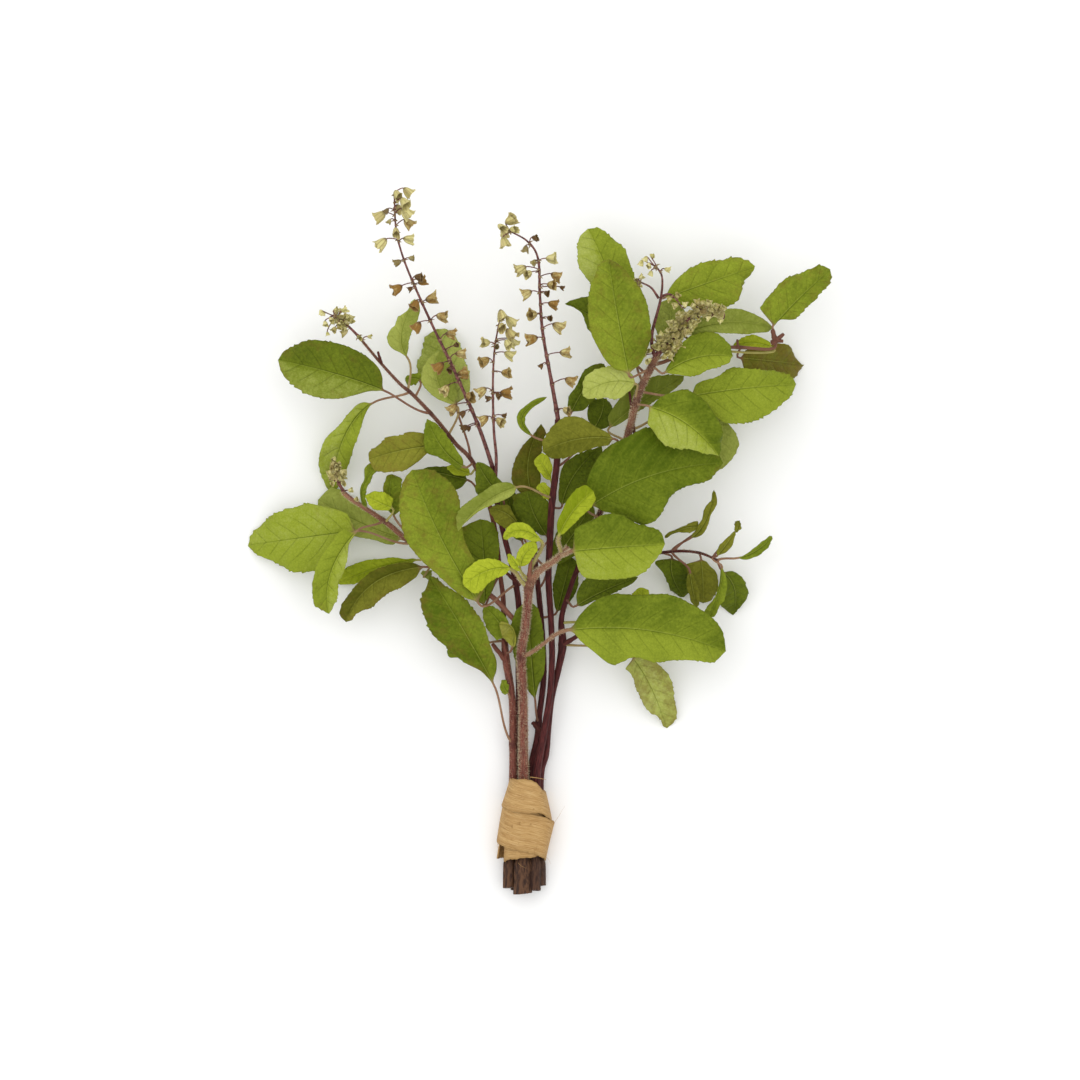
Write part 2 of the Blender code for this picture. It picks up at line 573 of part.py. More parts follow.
def smooth_route(points, steps):
    """Points of a Catmull-Rom curve through the given points, which may carry a radius as a fourth
    number. Between two neighbours it adds steps - 1 points."""
    rows = [Vector(p) for p in points]
    rows = [2 * rows[0] - rows[1], *rows, 2 * rows[-1] - rows[-2]]
    route = []
    for before, start, end, after in zip(rows, rows[1:], rows[2:], rows[3:]):
        for step in range(steps):
            t = step / steps
            route.append(
                0.5
                * (
                    2 * start
                    + (end - before) * t
                    + (2 * before - 5 * start + 4 * end - after) * t**2
                    + (3 * start - 3 * end + after - before) * t**3
                )
            )
    return [*route, rows[-2]]


def new_tube(name, route, collection):
    """A round stem along a route of (x, y, z, radius): a curve with a bevel and filled caps."""
    curve = bpy.data.curves.new(name, "CURVE")
    curve.dimensions = "3D"
    curve.bevel_depth = MM
    curve.bevel_resolution = 2
    curve.use_fill_caps = True
    spline = curve.splines.new("POLY")
    spline.points.add(len(route) - 1)
    for point, (x, y, z, radius) in zip(spline.points, route):
        point.co = (x * MM, y * MM, z * MM, 1)
        point.radius = radius
    tube = bpy.data.objects.new(name, curve)
    collection.objects.link(tube)
    return tube


def new_mesh_object(name, vertices, faces, collection):
    """An object from a closed list of faces, in millimetres."""
    mesh = bpy.data.meshes.new(name)
    mesh.from_pydata([Vector(v) * MM for v in vertices], [], faces)
    made = bpy.data.objects.new(name, mesh)
    collection.objects.link(made)
    return made


def loft(rings, last_is_point=False):
    """Vertices and outward faces of a tube through rings of equal length, which turn left when seen
    from the far end. The ends are closed by a cap, or the last one by a point."""
    sides = len(rings[0])
    vertices = [p for ring in rings for p in ring]
    faces = [tuple(reversed(range(sides)))]
    for row in range(len(rings) - 1):
        a, b = row * sides, (row + 1) * sides
        for i in range(sides):
            j = (i + 1) % sides
            faces.append((a + i, a + j, b + j, b + i))
    top = (len(rings) - 1) * sides
    if last_is_point:
        return vertices, faces, top
    faces.append(tuple(top + i for i in range(sides)))
    return vertices, faces, top


def nearest_on_route(route, place):
    """The point of a route that is nearest to place seen from above, with its radius and direction."""
    target = Vector(place)
    best = None
    for a, b in zip(route, route[1:]):
        run = (b - a).xy
        share = max(0, min(1, (target - a.xy).dot(run) / run.length_squared))
        point = a.lerp(b, share)
        away = (point.xy - target).length
        if best is None or away < best[0]:
            best = (away, point, (b - a).xyz.normalized())
    return best[1].xyz, best[1].w, best[2]


def bezier(t, *points):
    """A point of the Bezier curve with the given control points."""
    while len(points) > 1:
        points = [a.lerp(b, t) for a, b in zip(points, points[1:])]
    return points[0]


def petiole_route(leaf, routes, towards):
    """The petiole's curve, from just off the surface of its stem to the base of the blade, which it
    meets in the blade's own direction."""
    base = Vector(leaf.base)
    centre, radius, along = nearest_on_route(routes[leaf.stem], leaf.joins)
    away = base - centre
    outward = (away - away.dot(along) * along).normalized()
    start = centre + outward * (radius + PETIOLE_RADIUS + GAP)
    reach = PETIOLE_REACH * (base - start).length
    leaving = (PETIOLE_RISE * outward + (base - start).normalized()).normalized()
    return start, start + leaving * reach, base - towards * reach, base


def blade_frame(tangent, roll):
    """The blade's left-hand direction and its upper side at a place on the midrib."""
    left = Vector((0, 0, 1)).cross(tangent).normalized()
    left = Matrix.Rotation(-math.radians(roll), 3, tangent) @ left
    return left, tangent.cross(left)


def petiole_ring(centre, left, up):
    """A round section of the petiole, in the order of a blade's section."""
    ring = []
    for i in range(RING_SIDES):
        angle = 2 * math.pi * i / RING_SIDES
        ring.append(centre + PETIOLE_RADIUS * (math.cos(angle) * left + math.sin(angle) * up))
    return ring


def blade_ring(centre, left, up, fold, to_left, to_right):
    """A thin section across the blade with the given half widths: two sharp edges, and two flat
    shoulders beside the midrib."""
    to_left = (math.cos(fold) * left + math.sin(fold) * up) * to_left
    to_right = (-math.cos(fold) * left + math.sin(fold) * up) * to_right
    half = up * BLADE_THICKNESS / 2
    shoulder_left = centre + BLADE_SHOULDER * to_left
    shoulder_right = centre + BLADE_SHOULDER * to_right
    return [
        centre + to_left,
        shoulder_left + half,
        shoulder_right + half,
        centre + to_right,
        shoulder_right - half,
        shoulder_left - half,
    ]


def make_leaf(leaf, routes, collection):
    """One leaf as one closed body: its round petiole runs into a thin folded blade."""
    base, middle, tip = Vector(leaf.base), Vector(leaf.middle), Vector(leaf.tip)
    control = 2 * middle - (base + tip) / 2
    midrib = (base, control, tip)
    first = (control - base).normalized()
    petiole = petiole_route(leaf, routes, first)
    rings = []
    for i in range(PETIOLE_RINGS):
        t = i / PETIOLE_RINGS
        ahead = (bezier(t + 0.02, *petiole) - bezier(t, *petiole)).normalized()
        left, up = blade_frame(ahead, leaf.roll)
        rings.append(petiole_ring(bezier(t, *petiole), left, up))
    fold = math.radians(leaf.fold)
    for t, to_left, to_right in zip(BLADE_STATIONS, leaf.left, leaf.right):
        ahead = (bezier(t + 0.01, *midrib) - bezier(t - 0.01, *midrib)).normalized()
        left, up = blade_frame(ahead, leaf.roll)
        rings.append(blade_ring(bezier(t, *midrib), left, up, fold, to_left, to_right))
    vertices, faces, last = loft(rings, last_is_point=True)
    vertices.append(tip)
    for i in range(RING_SIDES):
        faces.append((last + i, last + (i + 1) % RING_SIDES, len(vertices) - 1))
    return new_mesh_object(leaf.name, vertices, faces, collection)


def calyx_rings(spot, size, route):
    """Sections of one flower on its stalk: it starts inside the spike's axis, hangs a little and
    opens into a bell that looks outwards."""
    middle = Vector(spot)
    _, _, along = nearest_on_route(route, middle.xy)
    centre, _, _ = nearest_on_route(route, (middle + along * PEDICEL_RISE).xy)
    outward = (middle - centre).normalized()
    length = CALYX_LENGTH * size
    neck = middle - outward * length / 2
    mouth = middle + outward * length / 2
    side = outward.cross(Vector((0, 0, 1)))
    side = side.normalized() if side.length > 0.1 else Vector((1, 0, 0))
    other = outward.cross(side)
    sections = (
        (centre, PEDICEL_RADIUS),
        (neck, PEDICEL_RADIUS),
        (neck.lerp(mouth, 0.45), CALYX_MOUTH_RADIUS * size * 0.8),
        (mouth, CALYX_MOUTH_RADIUS * size),
    )
    rings = []
    for place, radius in sections:
        ring = []
        for i in range(CALYX_SIDES):
            angle = 2 * math.pi * i / CALYX_SIDES
            ring.append(place + radius * (math.cos(angle) * side + math.sin(angle) * other))
        rings.append(ring)
    return rings


def to_mesh(thing, collection):
    """The evaluated object as a mesh object with its loose caps welded."""
    evaluated = thing.evaluated_get(bpy.context.evaluated_depsgraph_get())
    mesh = bpy.data.meshes.new_from_object(evaluated)
    name = thing.name
    matrix = thing.matrix_world.copy()
    bpy.data.objects.remove(thing, do_unlink=True)
    shape = bmesh.new()
    shape.from_mesh(mesh)
    bmesh.ops.remove_doubles(shape, verts=shape.verts, dist=1e-7)
    shape.to_mesh(mesh)
    shape.free()
    made = bpy.data.objects.new(name, mesh)
    made.matrix_world = matrix
    collection.objects.link(made)
    return made


def make_spike(name, flowers, route, parts, cutters):
    """A flower spike as one body: its thin axis joined with every flower on its stalk."""
    axis = new_tube(name, route, parts)
    bpy.context.view_layer.update()
    axis = to_mesh(axis, parts)
    for number, (x, y, z, size) in enumerate(flowers):
        vertices, faces, _ = loft(calyx_rings((x, y, z), size, route))
        flower = new_mesh_object(f"{name}_flower_{number}", vertices, faces, cutters)
        flower.hide_render = True
        flower.display_type = "WIRE"
        joined = axis.modifiers.new(f"flower_{number}", "BOOLEAN")
        joined.operation = "UNION"
        joined.solver = "EXACT"
        joined.object = flower
    return axis


def tie_ring(y, left, right, top, inset):
    """A section of the tie across the stems: a squarish oval whose lower side is cut off flat."""
    middle_x = (left + right) / 2
    half_width = (right - left) / 2 - inset
    half_height = (top + TIE_FLATTENED) / 2 - inset
    middle_z = (top - TIE_FLATTENED) / 2
    ring = []
    for i in range(TIE_POINTS):
        angle = 2 * math.pi * i / TIE_POINTS
        c, s = math.cos(angle), math.sin(angle)
        x = middle_x + half_width * math.copysign(abs(c) ** (2 / TIE_SQUARENESS), c)
        z = middle_z + half_height * math.copysign(abs(s) ** (2 / TIE_SQUARENESS), s)
        ring.append(Vector((x, y, max(z, inset))))
    return ring


def make_tie(collection):
    """The wound strip as one thick sleeve round all the stems, with a flat underside."""
    outer = [tie_ring(*station, 0) for station in TIE_STATIONS]
    inner = [tie_ring(*station, TIE_WALL) for station in reversed(TIE_STATIONS)]
    rings = [*outer, *inner]
    vertices = [p for ring in rings for p in ring]
    faces = []
    for row in range(len(rings)):
        a = row * TIE_POINTS
        b = (row + 1) % len(rings) * TIE_POINTS
        for i in range(TIE_POINTS):
            j = (i + 1) % TIE_POINTS
            faces.append((a + i, a + j, b + j, b + i))
    return new_mesh_object("tie_strip", vertices, faces, collection)


def main():
    clear_scene()
    parts = bpy.data.collections.new("holy_basil_bunch")
    cutters = bpy.data.collections.new("flowers_to_join")
    bpy.context.scene.collection.children.link(parts)
    bpy.context.scene.collection.children.link(cutters)
    materials = {name: new_material(name) for name in FINISHES}
    routes = {}
    made = {}
    for name, (finish, points) in STEMS.items():
        routes[name] = smooth_route(points, STEM_STEPS)
        made[name] = (new_tube(name, routes[name], parts), finish)
    for name, (points, flowers) in SPIKES.items():
        routes[name] = smooth_route(points, STEM_STEPS)
        made[name] = (make_spike(name, flowers, routes[name], parts, cutters), "calyx")
    for leaf in LEAVES:
        made[leaf.name] = (make_leaf(leaf, routes, parts), leaf.finish)
    made["tie_strip"] = (make_tie(parts), "dried_fibre")
    for thing, finish in made.values():
        thing.data.materials.append(materials[finish])


main()
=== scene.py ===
"""Looks of the holy basil bunch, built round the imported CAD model.

Every stem, spike, leaf and the tie is a closed surface worked out with numpy, which stands for
the CAD node of the same name. The tables give places and sizes in millimetres, in the frame of
the CAD model: X to the right, Y along the stems towards the tips, Z up from the surface.
"""

import math
from collections import namedtuple

import bpy
import numpy as np
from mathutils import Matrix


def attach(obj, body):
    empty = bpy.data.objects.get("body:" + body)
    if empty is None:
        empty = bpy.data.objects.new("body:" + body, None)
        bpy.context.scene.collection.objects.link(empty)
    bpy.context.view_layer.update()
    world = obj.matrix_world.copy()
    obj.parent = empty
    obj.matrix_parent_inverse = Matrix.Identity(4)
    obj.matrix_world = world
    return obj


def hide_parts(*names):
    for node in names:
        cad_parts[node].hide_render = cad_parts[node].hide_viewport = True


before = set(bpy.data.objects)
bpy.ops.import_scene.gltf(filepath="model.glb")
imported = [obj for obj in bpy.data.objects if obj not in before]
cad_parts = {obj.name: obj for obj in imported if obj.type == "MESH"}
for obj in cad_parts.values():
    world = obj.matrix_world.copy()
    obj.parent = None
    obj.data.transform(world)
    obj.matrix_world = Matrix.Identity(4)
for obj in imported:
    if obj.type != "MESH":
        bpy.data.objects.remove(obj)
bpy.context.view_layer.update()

MM = 0.001
UP = np.array([0.0, 0.0, 1.0])

# Each stem's finish, then its points from its lower end to its tip, with the radius there.
STEMS = {
    "stem_front": ("stem_brown", (
        (-0.6, -24.7, 7.6, 2.3), (-0.4, -4, 7.8, 2), (-0.2, 14.7, 8.4, 1.6),
        (-0.3, 27.3, 10.2, 1.5), (-0.3, 40.7, 12.8, 1.35), (-1, 55.7, 16.5, 1.4),
        (0.3, 64, 19, 1.3), (1.3, 74, 22.5, 1.3), (1.9, 80, 25, 1.55), (5.3, 84, 27.5, 1.05),
        (10.3, 87.3, 29.5, 0.8), (14.6, 91.7, 31.5, 0.5),
    )),
    "stem_left": ("stem_brown", (
        (-5, -22.9, 5.6, 1.6), (-4.6, -4, 5.6, 1.5), (-3.7, 14.7, 5.9, 1.3), (-3.8, 27.3, 7, 1.2),
        (-4, 40.7, 8.2, 1.15), (-6, 53.3, 9.8, 1.25), (-6.7, 63, 10.8, 0.95), (-7, 74, 12, 0.8),
        (-8, 82.3, 13, 0.75), (-9.7, 97.3, 15, 0.75), (-13.4, 112.6, 17.2, 0.75),
    )),
    "branch_upper_left": ("stem_purple", (
        (-13.4, 112.6, 17.2, 0.8), (-14, 114.2, 17.6, 0.75), (-18, 121.3, 19, 0.72),
        (-23, 126.3, 20, 0.7), (-28, 132.7, 21, 0.68), (-33, 138.3, 22, 0.65),
        (-38, 143.3, 23, 0.6), (-41.3, 146, 23.5, 0.55), (-48, 153.3, 25, 0.5),
        (-54.3, 160.8, 26, 0.45),
    )),
    "stem_left_spikes": ("stem_purple", (
        (-2.6, -24, 3, 1.4), (-2.2, -4, 3, 1.35), (-1.6, 14.7, 3.2, 1.3), (-1.8, 27.3, 4.2, 1.25),
        (-1.7, 40.7, 5.6, 1.2), (-1.8, 55, 8.8, 1.15), (-1.7, 70.7, 13.5, 1.05),
        (-3.3, 82.3, 17, 1), (-6.3, 94, 20, 0.95), (-9, 106.7, 22.4, 0.9),
        (-10.6, 118.6, 24.2, 0.9),
    )),
    "stem_middle_spike": ("stem_purple", (
        (3.6, -23.7, 6.9, 1.5), (3.9, -4, 7, 1.45), (4.3, 14.7, 7.4, 1.35), (6.3, 27.3, 8.3, 1.2),
        (8.5, 40.7, 9.6, 1.1), (9.3, 52.3, 11, 1.05), (9.3, 60.7, 12.4, 1.05),
        (9, 67.3, 13.5, 1.05), (8.2, 80.7, 16, 1.1), (8.7, 95.7, 20, 1.15),
        (9.3, 105.7, 22.5, 1.15), (11, 120.7, 26, 1.1), (11.3, 134, 29, 1),
    )),
    "stem_right": ("stem_purple", (
        (5, -22.4, 3.2, 1.6), (5, -4, 3.4, 1.5), (5.3, 14.7, 3.9, 1.4), (7.2, 22, 4.3, 1.2),
        (8, 30.7, 5, 1.1), (9.2, 40.7, 5.9, 1.05), (11.5, 50.7, 7, 1.05), (12.9, 59, 8.2, 1.3),
        (12.6, 68, 10, 0.9), (15.3, 77.3, 12, 0.8), (17.7, 84, 14, 0.8), (26.5, 106, 21, 0.9),
        (34.3, 128.3, 28, 1.1), (38, 142.3, 31, 1.1), (42.7, 152.3, 33, 1.05),
        (44.3, 155.3, 33.6, 1),
    )),
    "stem_back": ("stem_purple", (
        (0.9, -24.4, 2.8, 1.3), (1.2, -4, 2.7, 1.25), (1.9, 14.7, 2.8, 1.2), (4.4, 27.3, 3.5, 1.1),
        (5, 34, 4, 1.05), (6.5, 47.3, 5.2, 1), (6.3, 60, 6, 0.95), (5, 75, 6.5, 0.95),
        (3.5, 90, 7, 0.9), (2.5, 108, 8, 0.9), (3, 122, 9, 0.85),
    )),
    "twig_left": ("stem_brown", (
        (-2.2, 66.5, 13, 0.85), (-3.9, 68, 15.6, 0.85), (-10.3, 74.7, 15.8, 0.85),
        (-18, 80, 15, 0.85), (-28, 87, 14, 0.85), (-39, 94, 14, 0.85), (-46.3, 100, 14.5, 0.8),
        (-58.7, 108.3, 16, 0.7), (-60.5, 110.4, 16.4, 0.65),
    )),
    "twig_far_right": ("stem_purple", (
        (43, 152.2, 33, 0.7), (46.2, 153, 31, 0.6), (56, 156.6, 30.4, 0.55), (69, 158, 30, 0.55),
        (81.5, 157.4, 29, 0.5), (83.7, 159.2, 29, 0.45), (83, 163.3, 30, 0.4),
    )),
    "twig_low_right": ("stem_purple", (
        (17.7, 83.6, 14, 0.7), (20.6, 84.3, 13.2, 0.6), (30, 87, 11.5, 0.55),
        (38.7, 88.7, 12, 0.55), (45.7, 89.7, 13, 0.5), (52, 90.3, 14, 0.5), (58.7, 89.7, 15, 0.45),
        (64.7, 87.3, 16, 0.4),
    )),
}

# Each spike's points with the radius there, then the middle of each flower's calyx and its size
# as a share of a full-grown one, then the points and radii of its side shoots. A flower smaller
# than SPENT has shrivelled to a dark remnant round its seeds.
SPENT = 0.75
SPIKES = {
    "spike_left": (
        (
            (-10.4, 117.5, 24, 0.9), (-10.8, 119.3, 24.4, 0.8), (-15.3, 132.3, 26, 0.72),
            (-23, 150, 28.7, 0.65), (-29.3, 163, 30.5, 0.6), (-34.7, 174.7, 32, 0.55),
            (-39.7, 186.7, 33.3, 0.5), (-42.3, 196.7, 34, 0.45), (-43, 209, 34.5, 0.4),
        ),
        (
            (-19.7, 131.3, 27.5, 0.7), (-23.7, 137.7, 26, 0.9), (-18, 141.7, 29.5, 0.9),
            (-26, 144, 30.5, 0.9), (-20.6, 149, 27, 0.9), (-28, 151.7, 28.5, 0.9),
            (-21, 155.7, 31, 1), (-24.3, 162.3, 29, 1), (-35.3, 165, 30, 1), (-27.3, 168, 33, 1),
            (-35.9, 172, 34, 0.9), (-30.7, 174, 30, 1), (-42, 177.3, 32.5, 1),
            (-35, 181, 35.2, 0.7), (-37.3, 187.3, 35, 0.55), (-41.8, 186, 33.5, 0.6),
            (-37.7, 177.3, 32, 0.45), (-18.3, 131.3, 25, 0.5), (-33.6, 179.6, 33, 0.8),
            (-24.6, 150.6, 31.4, 0.6), (-20.3, 136, 29.4, 0.6), (-22.6, 158.6, 32.6, 0.5),
            (-47, 192.3, 35, 1), (-38.3, 193.6, 34, 0.9), (-42.3, 196, 37, 0.9),
            (-47.6, 201.3, 34, 1), (-39, 202.3, 36, 1), (-44.5, 199.4, 36.6, 0.5),
            (-39.6, 205.6, 37.6, 1.1), (-38.3, 199, 33.5, 0.9), (-42, 208.3, 36, 1),
            (-38.6, 209.4, 34, 1), (-41.6, 204, 33, 0.8), (-45.4, 203, 36, 0.5),
        ),
    ),
    "spike_left_short": (
        (
            (-9.6, 112, 23.4, 0.65), (-9.2, 121.2, 27.2, 0.6), (-10, 130.7, 29, 0.55),
            (-10.3, 145.7, 31, 0.5), (-9.7, 157.3, 32, 0.45), (-8, 167.3, 32.5, 0.4),
        ),
        (
            (-13.3, 134, 30, 0.9), (-8, 133.3, 32, 0.9), (-6.7, 135.3, 29, 0.45),
            (-11.7, 141, 29.4, 0.5), (-8.6, 142, 33.4, 0.55), (-14, 143.3, 32, 0.9),
            (-6, 142.7, 31, 0.9), (-6, 149.3, 34, 0.8), (-13, 153.3, 33, 0.9),
            (-5, 155.4, 32, 0.9), (-12.6, 159.3, 34, 0.8), (-4.6, 162.3, 34, 1),
            (-7.4, 164.6, 35.6, 0.9), (-4.4, 166.4, 31, 1), (-7.4, 168.6, 33.4, 0.9),
            (-5.4, 159, 35.6, 0.9), (-3.6, 159.6, 30.6, 0.9), (-9, 158, 35, 0.5),
        ),
    ),
    "spike_middle": (
        (
            (11.3, 133, 28.8, 0.9), (11.2, 134.8, 29.2, 0.85), (9.3, 145.7, 31, 0.72),
            (6.3, 162.3, 33.4, 0.65), (5.3, 175, 35, 0.6), (4.7, 187, 36.4, 0.55),
            (1.3, 192.7, 37, 0.5), (-4.8, 196.3, 37.6, 0.4),
        ),
        (
            (14, 137, 31.5, 0.8), (12.6, 177.6, 34, 0.4), (7.4, 175.6, 38, 0.55),
            (8.4, 167.4, 37.4, 0.5), (3.4, 186, 34, 0.55), (15.3, 146.7, 32, 1),
            (5.7, 151.7, 33.5, 0.5), (13.7, 156, 33, 1), (2.6, 160.6, 33, 1),
            (11.3, 164.6, 34.6, 1), (3, 168.6, 36.4, 0.9), (9.6, 172, 36, 0.9),
            (1, 175.6, 35, 0.9), (9, 178.3, 38, 0.9), (10.6, 181.4, 35, 1), (1.6, 182, 38.6, 0.8),
            (9, 187, 37.4, 1), (-1, 183.6, 35, 1), (3.6, 193.8, 39, 0.6), (0.6, 190.4, 35.6, 0.6),
            (-6.4, 192.6, 37, 0.85), (-4.4, 199.6, 38, 1), (-7.4, 197.4, 39.6, 0.9),
            (-3.4, 196.6, 40, 0.85), (-6.6, 195.6, 35.4, 0.8),
        ),
    ),
    "spike_right": (
        (
            (44.3, 155, 33.6, 0.9), (44.7, 156, 34.4, 0.85), (48, 159, 36, 0.75),
            (53, 165.6, 38, 0.65), (58.7, 170, 40, 0.6), (66, 169, 42, 0.5),
        ),
        (
            (41.7, 156.6, 37, 0.9), (39.7, 155, 35.6, 0.9), (41.4, 153.4, 37, 0.9),
            (44.3, 158.3, 38.5, 0.8), (47.4, 156, 38.6, 0.8), (42.6, 160.4, 35, 0.8),
            (45.6, 162, 36.6, 0.8), (51, 158.4, 37.4, 0.8), (48.6, 163.4, 39.6, 0.8),
            (54.4, 163, 39.4, 0.8), (51.4, 168.6, 38.6, 0.8), (57.6, 166.6, 41, 0.8),
            (56, 171.4, 42, 0.8), (61, 167.4, 42.6, 0.8), (61.4, 172, 40.4, 0.8),
            (65, 166.4, 43, 0.7),
        ),
    ),
    "spike_top_right": (
        (
            (43.6, 154, 33.2, 0.7), (42.4, 158.4, 35.4, 0.7), (42.6, 163.3, 35.4, 0.65),
            (45.3, 174, 36, 0.6), (45.7, 181, 37.2, 0.5), (43.7, 184.5, 38, 0.4),
        ),
        (
            (47.4, 183.4, 38, 0.8), (42, 182.3, 37.6, 0.8), (40.3, 187, 38.6, 0.9),
            (38.8, 185.6, 38, 0.9), (42.3, 188, 39.4, 0.8), (41.3, 184.8, 40, 0.9),
            (36.8, 179.9, 37.6, 0.9), (38.2, 178.6, 36.4, 0.8), (38.8, 180.9, 38, 0.8),
            (48.2, 173.8, 38.6, 0.8), (50.8, 174.6, 39.6, 0.8), (50.2, 171.6, 40, 0.9),
            (53.2, 171.6, 40.6, 0.9),
        ),
        (
            (
                (44.6, 174, 36, 0.5), (42.3, 177.3, 36.6, 0.45), (40, 178.7, 37, 0.4),
                (37.8, 179.5, 37.2, 0.3),
            ),
            (
                (45.4, 174.6, 36.2, 0.5), (48, 175.3, 38, 0.45), (50.3, 173.6, 39, 0.4),
                (52.3, 170.8, 39.6, 0.3),
            ),
        ),
    ),
    "spike_upper_left": (
        (
            (-54, 160.4, 26, 0.56), (-54.9, 161.6, 26.1, 0.56), (-60.7, 167.3, 27, 0.49),
            (-63, 168.7, 27.5, 0.42),
        ),
        (
            (-54.7, 161.3, 28.4, 0.9), (-51.4, 161.6, 27, 0.7), (-67.3, 169.7, 28, 0.9),
            (-66, 166, 28.6, 0.9), (-64, 167.3, 30, 0.9), (-63, 164, 28.4, 0.9),
            (-61.3, 165.7, 30, 0.8), (-59.7, 170.3, 28, 0.9), (-62.4, 170.6, 29, 0.7),
            (-65.3, 162.6, 27, 0.6),
        ),
    ),
    "spike_left_bud": (
        (
            (-60.2, 110, 16.3, 0.63), (-60.8, 111, 16.5, 0.63), (-62.3, 114, 17, 0.56),
            (-63, 119.7, 18, 0.42),
        ),
        (
            (-58, 110.6, 18, 0.8), (-63.8, 113, 18.4, 0.8), (-60.4, 113, 19.4, 0.8),
            (-60.7, 116.6, 19, 0.9), (-64.8, 116.6, 18.4, 0.9), (-62.6, 118.6, 20, 0.8),
            (-63.4, 121, 18.6, 0.8), (-56.2, 107.6, 17.6, 0.8),
        ),
    ),
}

# How a leaf differs from its finish and from the common shape. tone is lighter above 0, brown is
# the share of dry or purplish tissue, halves is painted light and shade across the midrib: the
# left half is painted lighter by this much and the right half darker, as if one half caught the
# light and the other lay in shade. twist turns the tip against the base, in degrees. wave is how
# far the edge swings in and out, stalk is the petiole's radius, both in mm, and teeth is the
# height of the teeth as a share of the common one.
Look = namedtuple(
    "Look", "tone brown halves twist wave stalk teeth", defaults=(0, 0.1, 0, 5, 0.2, 0.36, 1)
)
Leaf = namedtuple(
    "Leaf",
    "name stem joins base middle tip left right roll fold finish look",
    defaults=(Look(),),
)
BLADE_STATIONS = (0.04, 0.14, 0.28, 0.43, 0.58, 0.72, 0.85, 0.95)

